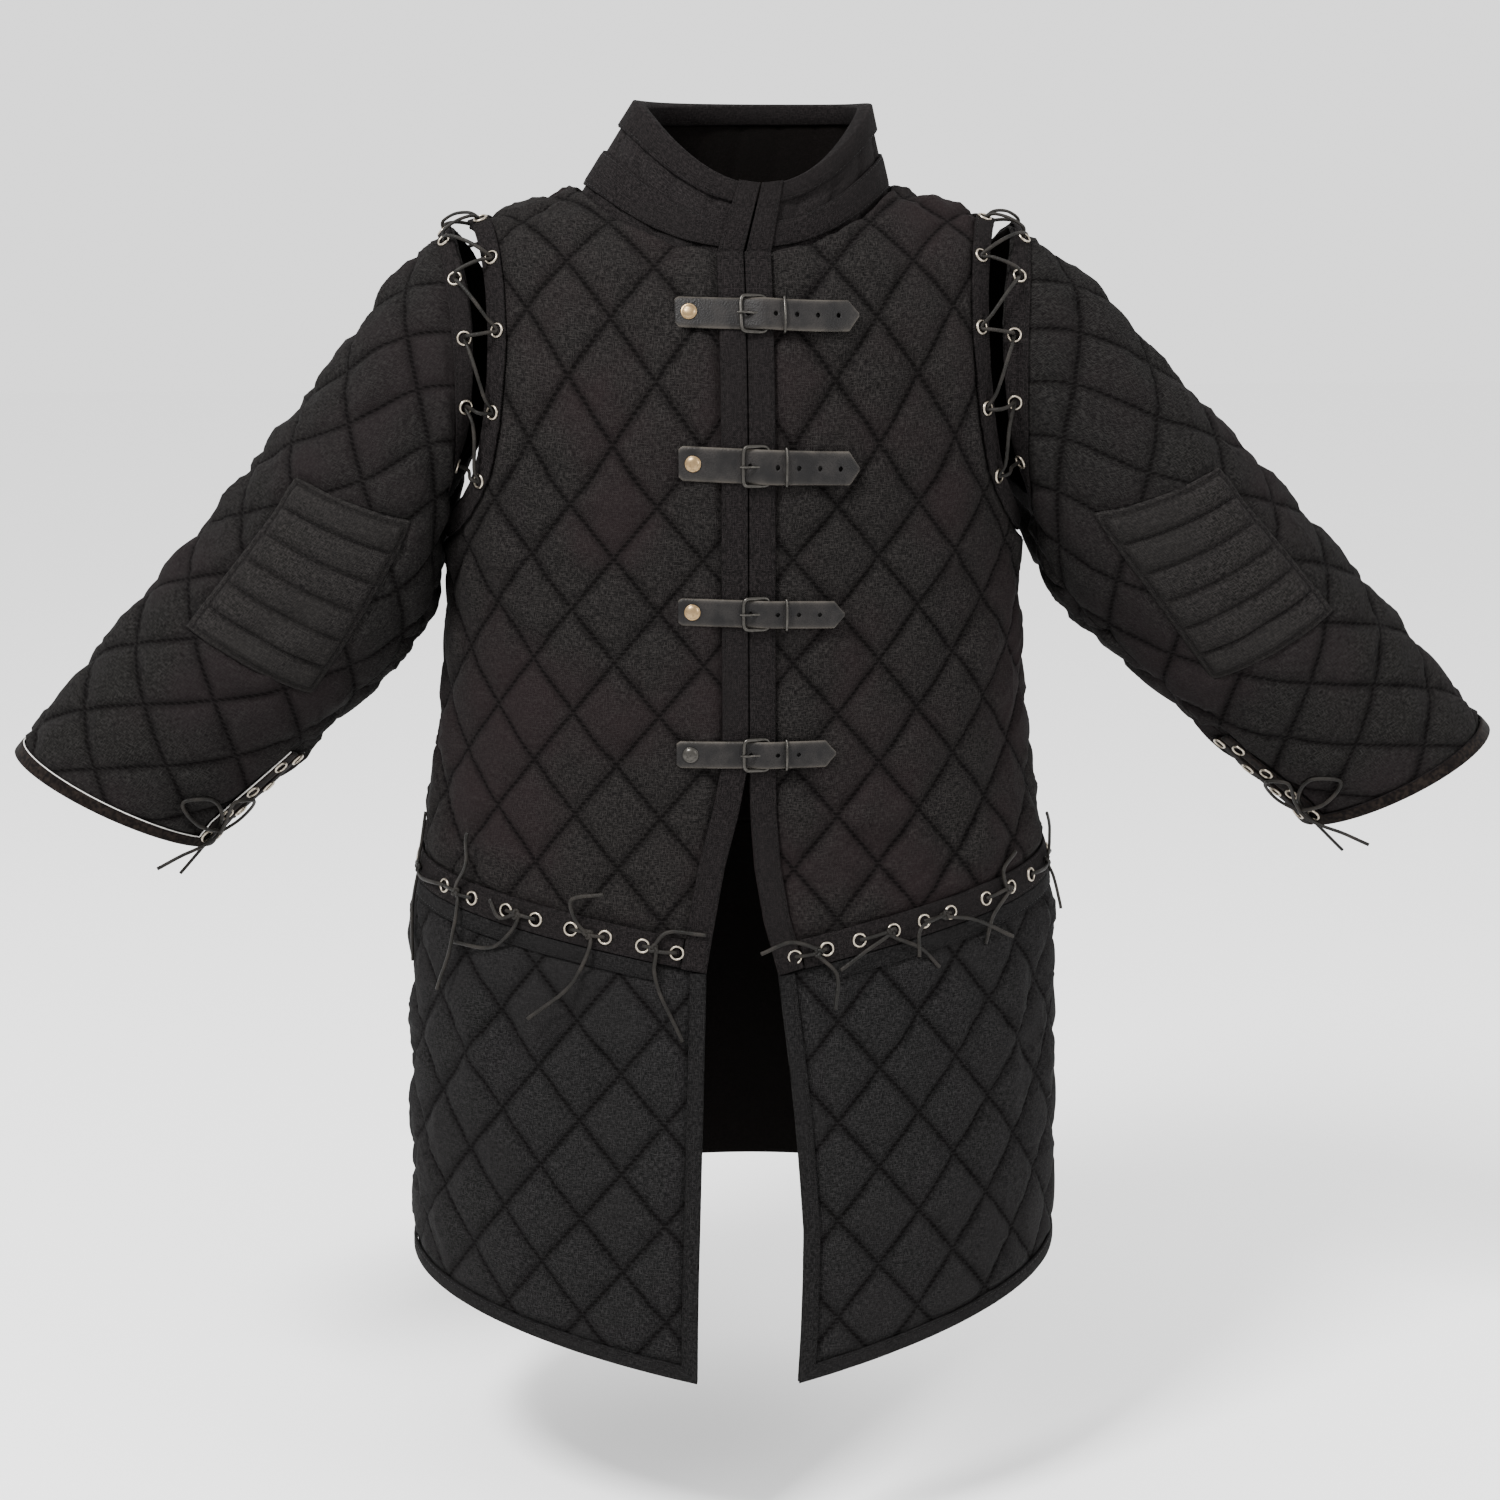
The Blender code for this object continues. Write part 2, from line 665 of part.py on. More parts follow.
def make_back():
    """The back of the body, in one piece."""
    neck = neck_line(BACK)
    armhole = armhole_line(BACK, 17)
    sides = seam_line(BACK, UNDERARM_DROP, WAIST_DROP)
    waist = level_line(BACK, 0.0, waist_drop, WAIST_DROP)
    shoulder = np.linspace(SHOULDER_TIP, NECK_SIDE, 4)[1:-1]
    top = np.stack([shoulder, shoulder_line(shoulder, BACK) + HALF_GAP], axis=1)
    half = np.concatenate([waist, sides[::-1][1:], armhole[::-1][1:], top, neck])
    outline = np.concatenate([half, mirrored(half[::-1][1:-1], -1)])
    whole = np.concatenate([mirrored(waist[::-1], -1), waist[1:]])
    frame = body_frame(BACK)
    other = mirrored(armhole, -1)
    beds = [bed(whole, -WAIST_BAND), bed(armhole, ARMHOLE_BAND), bed(other, -ARMHOLE_BAND)]
    quilted_panel("back", outline, LATTICE, beds, frame)
    band("waist_band_back", whole, -WAIST_BAND, BACK, lift=WAIST_BACK_LIFT)
    band("armhole_band_back_left", armhole, ARMHOLE_BAND, BACK)
    band("armhole_band_back_right", other, -ARMHOLE_BAND, BACK)


def make_skirt_front(side, word):
    """One front of the skirt, edged along its front and its hem."""
    start = float(front_edge(WAIST_DROP + WAIST_DIP, side))
    waist = level_line(FRONT, start, waist_drop, WAIST_DROP)
    waist[:, 1] += WAIST_GAP
    hem_start = float(front_edge(HEM_DROP + HEM_DIP, side))
    hem = level_line(FRONT, hem_start, hem_drop, HEM_DROP)
    edge = edge_line(side, waist[0, 1], hem[0, 1])
    sides = seam_line(FRONT, WAIST_DROP + WAIST_GAP, HEM_DROP)
    outline = np.concatenate([edge, hem[1:], sides[::-1][1:], waist[::-1][1:-1]])
    border = np.concatenate([edge, hem[1:]])
    frame = body_frame(FRONT)
    beds = [bed(mirrored(border, side), -side * HEM_BAND)]
    quilted_panel("skirt_front_" + word, mirrored(outline, side), LATTICE, beds, frame, "skirt canvas")
    band("skirt_edging_" + word, mirrored(border, side), -side * HEM_BAND, FRONT)


def make_skirt_back():
    waist = level_line(BACK, 0.0, waist_drop, WAIST_DROP)
    waist[:, 1] += WAIST_GAP
    hem = level_line(BACK, 0.0, hem_drop, HEM_DROP)
    sides = seam_line(BACK, WAIST_DROP + WAIST_GAP, HEM_DROP)
    half = np.concatenate([hem, sides[::-1][1:], waist[::-1][1:]])
    outline = np.concatenate([half, mirrored(half[::-1][1:-1], -1)])
    whole = np.concatenate([mirrored(hem[::-1], -1), hem[1:]])
    frame = body_frame(BACK)
    quilted_panel("skirt_back", outline, LATTICE, [bed(whole, -HEM_BAND)], frame, "skirt canvas")
    band("skirt_hem_back", whole, -HEM_BAND, BACK)


def sleeve_edge(end):
    """The seam's edge at one end of the sleeve's round, from the head to the cuff."""
    share = np.linspace(0, 1, 14)
    slit = np.maximum(1 - (1 - share) * (SLEEVE_LENGTH - 2 * HEAD_RISE) / SLIT_LENGTH, 0)
    s = end * (sleeve_round(share) / 2 - SEAM_INSET - (SLIT_HALF - SEAM_INSET) * slit)
    head = head_line(s)
    return np.stack([s, head + share * (SLEEVE_LENGTH - head)], axis=1)


def make_sleeve(side, word):
    """One sleeve, seamed under the arm, slit at the cuff, with its pad and its cuff edging."""
    right, left = sleeve_edge(1), sleeve_edge(-1)
    s = np.linspace(left[0, 0], right[0, 0], 25)[1:-1]
    head = np.stack([s, head_line(s)], axis=1)
    hem_s = np.linspace(left[-1, 0], right[-1, 0], 21)[1:-1]
    hem = np.stack([hem_s, np.full_like(hem_s, SLEEVE_LENGTH)], axis=1)
    outline = np.concatenate([head, right, hem[::-1], left[::-1]])
    slit = [row for row in right if row[1] > SLEEVE_LENGTH - SLIT_LENGTH]
    other = [row for row in left if row[1] > SLEEVE_LENGTH - SLIT_LENGTH]
    border = np.concatenate([other, hem, slit[::-1]])
    frame = sleeve_frame(side)
    middle = (PAD_MIDDLE[0] * sleeve_round(0.5), PAD_MIDDLE[1])
    beds = [bed(border, -CUFF_BAND - BED_WIDER), pad_cells(middle, PAD_BED)]
    quilted_panel("sleeve_" + word, outline, SLEEVE_LATTICE, beds, frame)
    cells, low = band_cells(border, 0, -CUFF_BAND), EDGING_LOW
    wrap(slab("cuff_edging_" + word, cells, low, low + BAND_THICK, "suede"), frame)
    cells, low = pad_cells(middle, 0), WALL_BAND + LIFT
    pad = slab("elbow_pad_" + word, cells, low, low + PAD_THICK, "suede")
    raise_channels(pad, middle)
    wrap(pad, frame)


def pad_cells(middle, extra):
    """The cells of the elbow pad, two across each of its channels."""
    s = middle[0] + (PAD_WIDTH / 2 + extra) * np.linspace(-1, 1, 4)
    t = middle[1] + (PAD_LENGTH / 2 + extra) * np.linspace(-1, 1, 2 * PAD_CHANNELS + 1)
    return [
        [(s[i], t[j]), (s[i + 1], t[j]), (s[i + 1], t[j + 1]), (s[i], t[j + 1])]
        for i in range(len(s) - 1) for j in range(len(t) - 1)
    ]


def raise_channels(pad, middle):
    """Lifts the middle line of each channel on the pad's outer face."""
    for vertex in pad.data.vertices:
        if vertex.co.z > WALL_BAND + PAD_THICK:
            row = round((vertex.co.y - middle[1]) / PAD_LENGTH * 2 * PAD_CHANNELS + PAD_CHANNELS)
            inside = abs(vertex.co.x - middle[0]) < PAD_WIDTH * CHANNEL_INSIDE
            vertex.co.z += (row % 2) * CHANNEL_RISE[0 if inside else 1]


def collar_base():
    """The collar's lower edge on the wearer's left, from the back to the front, in millimetres."""
    back, front = neck_line(BACK)[::-1], neck_line(FRONT)[1:]
    one = body_surface(back[:, 0], back[:, 1], BACK)
    other = body_surface(front[:, 0], front[:, 1], FRONT)
    return np.concatenate([one, other])


COLLAR_BASE = collar_base()
COLLAR_ALONG = np.concatenate([
    [0], np.cumsum(np.linalg.norm(np.diff(COLLAR_BASE, axis=0), axis=1)),
])
COLLAR_REACH = COLLAR_ALONG[-1]


def collar_top(share):
    """The collar's upper edge, inside. The share is 0 at the back and 1 at the front."""
    turn = math.pi * share
    ahead = np.maximum(-np.cos(turn), 0)
    deep = np.where(np.cos(turn) > 0, COLLAR_TOP["back"], COLLAR_TOP["front"])
    high = COLLAR_TOP["side_z"] - (COLLAR_TOP["side_z"] - COLLAR_TOP["front_z"]) * ahead ** 2
    return np.stack([COLLAR_TOP["half_width"] * np.sin(turn), deep * np.cos(turn), high], axis=-1)


def collar_surface(s, t):
    """Point of the collar's inner face. s is 0 at the back, and t is the height above the seam."""
    size = np.minimum(np.abs(s), COLLAR_REACH)
    base = np.stack([smooth(size, COLLAR_ALONG, column) for column in COLLAR_BASE.T], axis=1)
    top = collar_top(size / COLLAR_REACH)
    ahead = np.stack([smooth(size + 1, COLLAR_ALONG, column) for column in COLLAR_BASE.T], axis=1)
    behind = np.stack([smooth(size - 1, COLLAR_ALONG, column) for column in COLLAR_BASE.T], axis=1)
    outward = np.cross(top - base, ahead - behind)
    outward /= np.linalg.norm(outward, axis=1, keepdims=True)
    level = outward * (1, 1, 0)
    level /= np.linalg.norm(level, axis=1, keepdims=True)
    inner = base - outward * COLLAR_WALL - 2 * GAP * level
    made = inner + (top - inner) * (t / COLLAR_HEIGHT)[:, None]
    made[:, 0] *= np.where(s < 0, -1, 1)
    made[:, 0] += COLLAR_LEAN * t / COLLAR_HEIGHT
    return made


def collar_stations():
    """Places along the collar, two for each stitched channel."""
    count = 2 * round(2 * COLLAR_REACH / COLLAR_CHANNEL)
    end = COLLAR_REACH - 2 * GAP
    return np.linspace(-end, end, count + 1)


def swept(name, stations, section, frame, finish):
    """A closed solid with one section, a ring of (t, height), at each station s."""
    shape = bmesh.new()
    rings = [[shape.verts.new((s, t, high)) for t, high in section] for s in stations]
    for one, other in zip(rings, rings[1:]):
        for at in range(len(section)):
            after = (at + 1) % len(section)
            shape.faces.new([one[at], one[after], other[after], other[at]])
    shape.faces.new(rings[0])
    shape.faces.new(rings[-1][::-1])
    bmesh.ops.recalc_face_normals(shape, faces=shape.faces[:])
    return wrap(linked(name, mesh_of(shape, name), finish), frame)


def make_collar():
    """The standing collar in one piece, its lower band and the binding over its upper edge."""
    frame = (collar_surface, -1)
    stations = collar_stations()
    t = np.linspace(0, COLLAR_HEIGHT, 5)
    cells = [
        [(a, c), (b, c), (b, d), (a, d)]
        for a, b in zip(stations, stations[1:]) for c, d in zip(t, t[1:])
    ]
    collar = slab("collar", cells, 0, COLLAR_WALL - COLLAR_GROOVE, "canvas")
    raised = set(np.round(stations[1::2], 2))
    for vertex in collar.data.vertices:
        if vertex.co.z > 1 and round(vertex.co.x, 2) in raised:
            vertex.co.z = COLLAR_WALL
    wrap(collar, frame)
    low, high = COLLAR_BAND
    rest = COLLAR_WALL + LIFT
    outer = rest + COLLAR_BAND_THICK
    lower = [(low, rest), (high, rest), (high, outer), (low, outer)]
    swept("collar_band", stations, lower, frame, "band")
    top, out, inside = COLLAR_HEIGHT, COLLAR_WALL + 1.5 * LIFT, -1.5 * LIFT
    thick, end, peak = COLLAR_BAND_THICK, top - BINDING_INSIDE, top + BINDING_OVER
    over = [
        (top - BINDING, out), (top + LIFT, out), (top + LIFT, inside), (end, inside),
        (end, inside - thick), (peak, inside - thick), (peak, out + thick),
        (top - BINDING, out + thick),
    ]
    swept("collar_binding", stations, over, frame, "band")


def strap_t(row):
    """t of a strap's middle line at its start, for its drop on the curved front."""
    drops = -body_surface(np.zeros(300), np.arange(300.0), FRONT)[:, 2]
    if row[0] > FRONT["fall"]:
        return t_of_drop(row[0], FRONT)
    return float(np.interp(row[0], drops, np.arange(300.0)))


def make_fastening(number, row):
    """One strap with its buckle, chape and keeper. The strap runs under the buckle's left bar
    and over its right one, and the prong comes up through it."""
    frame = body_frame(FRONT)
    middle = strap_t(row)
    start, end, lower = row[1], row[2], row[3]
    bar = BUCKLE_AT + BUCKLE_WIDTH / 2 - BUCKLE_WIRE
    far_bar = BUCKLE_AT - BUCKLE_WIDTH / 2 + BUCKLE_WIRE
    over_bar = STRAP_LOW + 2 * BUCKLE_WIRE + 2 * GAP
    on_chape = STRAP_LOW + CHAPE_THICK + GAP
    route = even_points(np.array([
        (start, STRAP_LOW), (far_bar + 3, STRAP_LOW), (bar - 4, over_bar), (bar + 4, over_bar),
        (bar + 12, on_chape), (end - 7, on_chape), (end, on_chape),
    ]), STRAP_STEP)
    shape = bmesh.new()
    rings = []
    for s, high in route:
        half = STRAP_WIDTH / 2 * min(1, 0.15 + (end - s) / 8)
        mid = middle + lower * (s - start) / (end - start)
        section = [(-half, 0), (half, 0), (half, STRAP_THICK), (-half, STRAP_THICK)]
        rings.append([shape.verts.new((s, mid + t, high + up)) for t, up in section])
    for one, other in zip(rings, rings[1:]):
        for at in range(4):
            shape.faces.new([one[at], one[(at + 1) % 4], other[(at + 1) % 4], other[at]])
    shape.faces.new(rings[0])
    shape.faces.new(rings[-1][::-1])
    bmesh.ops.recalc_face_normals(shape, faces=shape.faces[:])
    name = f"strap_{number}"
    strap = linked(name, mesh_of(shape, name), "leather")
    mid = middle + lower * (BUCKLE_AT - start) / (end - start)
    slot = band_cells(np.array([(far_bar + 3.5, mid), (bar - 1, mid)]), -SLOT_HALF, SLOT_HALF)
    combine(strap, slab("prong slot", slot, 0, 30), "DIFFERENCE")
    wrap(strap, frame)
    ends = even_points(np.array([(bar + BUCKLE_WIRE + GAP, mid), (CHAPE_END, mid + 2)]), STRAP_STEP)
    cells = band_cells(ends, -CHAPE_HALF, CHAPE_HALF)
    wrap(slab(f"chape_{number}", cells, STRAP_LOW, STRAP_LOW + CHAPE_THICK, "leather"), frame)
    make_buckle(f"buckle_{number}", mid, far_bar, bar, frame)
    kept = middle + lower * (KEEPER_AT - start) / (end - start)
    make_keeper(f"keeper_{number}", kept, on_chape, frame)


def tube(name, points, radius, sides, cyclic=False):
    """A POLY curve with round section through points, as a mesh with its caps welded."""
    curve = bpy.data.curves.new(name, "CURVE")
    curve.dimensions = "3D"
    curve.bevel_depth = radius
    curve.bevel_resolution = sides
    curve.use_fill_caps = True
    spline = curve.splines.new("POLY")
    spline.points.add(len(points) - 1)
    for point, place in zip(spline.points, points):
        point.co = (*place, 1)
    spline.use_cyclic_u = cyclic
    return curve


def tube_mesh(name, points, radius, sides, cyclic=False, finish=None):
    guide = bpy.data.objects.new(name + " line", tube(name, points, radius, sides, cyclic))
    cutters.objects.link(guide)
    mesh = evaluated_mesh(guide)
    bpy.data.objects.remove(guide, do_unlink=True)
    shape = bmesh.new()
    shape.from_mesh(mesh)
    bmesh.ops.remove_doubles(shape, verts=shape.verts[:], dist=0.0001)
    bmesh.ops.recalc_face_normals(shape, faces=shape.faces[:])
    return linked(name, mesh_of(shape, name), finish)


def make_buckle(name, mid, far_bar, bar, frame):
    """A wire frame with rounded corners, and its prong from the right bar over the left one."""
    low = STRAP_LOW + BUCKLE_WIRE
    high = STRAP_LOW + STRAP_THICK + GAP + BUCKLE_WIRE
    tall, corner = BUCKLE_TALL / 2 - BUCKLE_WIRE, 2.5
    ring = [
        (far_bar, mid - tall + corner, high), (far_bar + corner, mid - tall, high),
        (bar - corner, mid - tall, low), (bar, mid - tall + corner, low),
        (bar, mid + tall - corner, low), (bar - corner, mid + tall, low),
        (far_bar + corner, mid + tall, high), (far_bar, mid + tall - corner, high),
    ]
    made = tube_mesh(name, ring, BUCKLE_WIRE, 1, True, "steel")
    over = high + BUCKLE_WIRE + PRONG_RISE
    prong = [(bar, mid, low + 0.3), (far_bar + 4, mid, over), (far_bar - 3, mid, over)]
    combine(made, tube_mesh("prong", prong, PRONG, 1), "UNION")
    wrap(made, frame)


def make_keeper(name, mid, on_chape, frame):
    """A metal loop over the strap, with its feet on the front strip."""
    foot, top = STRAP_LOW, on_chape + STRAP_THICK + GAP
    inner = STRAP_WIDTH / 2 + KEEPER_ROOM
    outer, high = inner + KEEPER_WIRE, top + KEEPER_WIRE
    section = [
        (mid - outer, foot), (mid - inner, foot), (mid - inner, top), (mid + inner, top),
        (mid + inner, foot), (mid + outer, foot), (mid + outer, high), (mid - outer, high),
    ]
    swept(name, [KEEPER_AT - KEEPER_HALF, KEEPER_AT + KEEPER_HALF], section, frame, "steel")


def lace(name, points):
    """A thong as a curve with a round section, through world points in metres."""
    made = bpy.data.objects.new(name, tube(name, points, THONG / 2000, 2))
    made.data.materials.append(material("thong"))
    coat.objects.link(made)


def make_tie(name, s, t, tie, lift):
    """A thong knotted through one pair of eyelets, with its two tails. The tails stand out by
    the lift, so that they pass over a neighbour's."""
    first = [(s + a, t + b) for a, b in tie["first"][::-1]]
    last = [(s + a, t + b) for a, b in tie["last"]]
    flat = points_along([*first, (s, t), *last], TIE_PIECES, len(first))
    away = np.linalg.norm(flat - (s, t), axis=1)
    high = np.where(away < 1, KNOT_HIGH, THONG_HIGH + lift * away / away.max())
    lace("tie_" + name, placed(np.column_stack([flat, high]), body_frame(FRONT)))


def make_ties():
    for number, (name, tie) in enumerate(TIES.items()):
        seam = side_seam(WAIST_DROP, FRONT)
        s = s_of_x(tie["x"], WAIST_DROP, FRONT)
        drop = float(waist_drop(abs(s), FRONT, seam)) - WAIST_BAND / 2
        make_tie(name, s, t_of_drop(drop, FRONT), tie, TAIL_LIFT * (number % 2))


def make_armhole_lace(side, word):
    """One lace that goes to and fro between the sleeve's head and the armhole, from the front
    underarm over the shoulder to the back one."""
    place = np.linspace(LACE_FIRST, LACE_LAST, LACE_PIECES + 1)
    to_arm = np.abs((place - LACE_FIRST) / LACE_PERIOD % 1 * 2 - 1)[:, None]
    down = np.abs(place)
    rise = THONG_HIGH + LACE_BULGE * 4 * (to_arm * (1 - to_arm))[:, 0]
    lines = {}
    for half in (FRONT, BACK):
        inner = offset_line(armhole_line(half, 25), LACE_INSET)
        s = side * np.interp(down, np.linspace(0, 1, 25), inner[:, 0])
        t = np.interp(down, np.linspace(0, 1, 25), inner[:, 1])
        lines[half["side"]] = placed(np.column_stack([s, t, rise]), body_frame(half))
    body = np.where(place[:, None] < 0, lines[-1], lines[1])
    turn = -math.pi * place
    s = (turn + SEAM_TURN) * HEAD_ROUND / (2 * math.pi)
    flat = np.column_stack([s, head_line(s) + LACE_INSET, rise + LACE_RISE])
    arm = placed(flat, sleeve_frame(side))
    lace("armhole_lace_" + word, body * (1 - to_arm) + arm * to_arm)


def make_cuff_lace(side, word):
    """The lace of the cuff's slit, tied in a bow with two loops and two ends."""
    frame = sleeve_frame(side)
    s = float(sleeve_round(np.array(1.0))) / 2 + BOW_KNOT[0]
    t = SLEEVE_LENGTH + BOW_KNOT[1]
    flat = points_along([(s + a, t + b) for a, b in BOW], BOW_PIECES)
    share = np.linspace(0, 1, len(flat))
    high = np.interp(share, [0, 0.2, 0.27, 1], [KNOT_HIGH, KNOT_HIGH, THONG_HIGH, THONG_HIGH + 4])
    lace("cuff_lace_" + word, placed(np.column_stack([flat, high]), frame))


clear_scene()
coat = collection_for("gambeson")
cutters = collection_for("cutters")

for facing, hand in ((-1, "right"), (1, "left")):
    make_front(facing, hand)
    make_skirt_front(facing, hand)
    make_sleeve(facing, hand)
    make_armhole_lace(facing, hand)
    make_cuff_lace(facing, hand)
make_back()
make_skirt_back()
make_collar()
for place, strap_row in enumerate(STRAPS, 1):
    make_fastening(place, strap_row)
make_ties()
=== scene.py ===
# %% [markdown]
# # A quilted arming coat, filled out as it is worn
#
# The coat is two layers of black cotton canvas with batting between them, stitched through in
# diamonds. The sleeves and the skirt are separate pieces laced on, and four leather straps close
# the front. Black cloth shows its making only by relief: the light catches each puffed diamond
# and drops into each stitched line. So every panel here is a real thin shell with that relief in
# its mesh, and the materials add only what is smaller than a few millimetres, besides painted
# shade along the stitched lines.
#
# All sizes are in millimetres in the flat cloth and become metres when a piece is put in place.

# %% Load the imported frame
import math

import bmesh
import bpy
import numpy as np
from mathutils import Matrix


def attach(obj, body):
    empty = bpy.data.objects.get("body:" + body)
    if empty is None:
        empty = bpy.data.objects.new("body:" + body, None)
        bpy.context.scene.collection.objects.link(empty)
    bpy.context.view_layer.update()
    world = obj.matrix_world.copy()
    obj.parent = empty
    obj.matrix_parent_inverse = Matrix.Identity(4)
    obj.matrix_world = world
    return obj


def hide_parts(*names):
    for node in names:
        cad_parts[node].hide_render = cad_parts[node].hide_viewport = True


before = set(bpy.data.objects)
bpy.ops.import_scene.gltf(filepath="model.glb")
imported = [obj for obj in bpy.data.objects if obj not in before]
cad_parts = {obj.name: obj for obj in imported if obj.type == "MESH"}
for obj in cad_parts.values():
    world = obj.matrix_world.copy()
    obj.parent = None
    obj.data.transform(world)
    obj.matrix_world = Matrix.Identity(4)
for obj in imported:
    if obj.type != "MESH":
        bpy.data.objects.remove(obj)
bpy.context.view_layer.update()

# %% [markdown]
# ## Camera and stage
#
# The photograph was taken from a little above the middle of the chest, with the camera tipped
# down, and the coat turned slightly to one side. A focal length in pixels of the square picture
# gives the lens directly, because Blender's sensor width stands for the picture's width.

# %% Camera
PICTURE = 1500
FOCAL_PIXELS = 2850
COAT_TURN = math.radians(4.5)
TIP_DOWN = math.radians(12.8)
SENSOR = 36.0

camera = bpy.data.objects.new("camera", bpy.data.cameras.new("camera"))
bpy.context.scene.collection.objects.link(camera)
bpy.context.scene.camera = camera
camera.data.sensor_width = SENSOR
camera.data.lens = FOCAL_PIXELS / PICTURE * SENSOR
camera.location = (-0.160, -2.194, 0.07)
camera.rotation_euler = (math.pi / 2 - TIP_DOWN, 0, -COAT_TURN)
print("lens", round(camera.data.lens, 1), "mm")

# %% [markdown]
# ## Colours and nodes
#
# Colours are picked as sRGB hex values, the way a paint program shows them, and Blender wants
# linear light, so one function turns them. One more function adds a shader node with its
# settings and its links, which keeps each material short enough to read as a recipe.


# %% Colour and node helpers
def linear(code):
    """The linear RGBA of an sRGB hex code."""
    shares = np.array([int(code[at:at + 2], 16) for at in (0, 2, 4)]) / 255
    return (*np.where(shares < 0.04045, shares / 12.92, ((shares + 0.055) / 1.055) ** 2.4), 1.0)


def add(tree, kind, settings=(), inputs=()):
    """Adds a node to a tree, with its settings, and its inputs as values or as linked sockets."""
    made = tree.nodes.new("ShaderNode" + kind)
    for name, value in dict(settings).items():
        setattr(made, name, value)
    for slot, value in dict(inputs).items():
        if isinstance(value, bpy.types.NodeSocket):
            tree.links.new(value, made.inputs[slot])
        else:
            made.inputs[slot].default_value = value
    return made


def reckon(tree, operation, *values):
    """The output of one Math node."""
    return add(tree, "Math", {"operation": operation}, dict(enumerate(values))).outputs[0]


def blended(tree, share, first, second):
    """The output of a colour mix, where a colour is a hex code or a socket."""
    colours = [linear(c) if isinstance(c, str) else c for c in (first, second)]
    mix = add(tree, "Mix", {"data_type": "RGBA"}, {0: share, 6: colours[0], 7: colours[1]})
    return mix.outputs[2]


def ramp(tree, value, low, high, start=0.0, end=1.0):
    """A value carried smoothly from one range to another."""
    settings = {"interpolation_type": "SMOOTHSTEP"}
    inputs = {0: value, 1: low, 2: high, 3: start, 4: end}
    return add(tree, "MapRange", settings, inputs).outputs[0]


def plug(tree, shader, sockets):
    """Links outputs to the shader's sockets by their names."""
    for name, output in sockets.items():
        tree.links.new(output, shader.inputs[name])


def new_material(name, roughness, metallic=0.0, sheen=0.0, level=0.5):
    """A material with its Principled shader set to numbers that hold all over the surface."""
    made = bpy.data.materials.new(name)
    made.use_nodes = True
    shader = made.node_tree.nodes["Principled BSDF"]
    numbers = {"Roughness": roughness, "Metallic": metallic, "Specular IOR Level": level,
               "Sheen Weight": sheen, "Sheen Roughness": 0.5}
    for socket, number in numbers.items():
        shader.inputs[socket].default_value = number
    return made, made.node_tree, shader


# %% [markdown]
# ## Canvas
#
# Stonewashed cotton canvas is dyed black and then worn: warp and weft still show as a fine
# grain, and washing leaves soft patches. The weave is drawn at 1.4 mm, about twice the real
# thread spacing, because the real one is finer than a pixel. The quilting thread runs along the
# lines of the lattice, so the material works out its distance to them from the cloth's own flat
# coordinates, which the UV map holds in metres. The same distance paints shade into the cloth
# within 6 mm of each line, darkest at the thread, so the diamonds' crowns look paler than the
# seams. A groove attribute, on pieces that carry one, paints shade in the same way.

# %% Canvas material
WEAVE, STITCH = 0.0014, 0.0045  # metres
# Colour of the painted shade in the seams and grooves
SEAM_SHADE = "050404"


def nearest_line(tree, s, t, width, tall, lean):
    """Distance in metres to the nearest line of one family of the quilting lattice."""
    across = reckon(tree, "DIVIDE", s, width / 1000)
    down = reckon(tree, "DIVIDE", t, lean * tall / 1000)
    share = reckon(tree, "PINGPONG", reckon(tree, "ADD", across, down), 0.5)
    return reckon(tree, "MULTIPLY", share, width * tall / math.hypot(width, tall) / 1000)


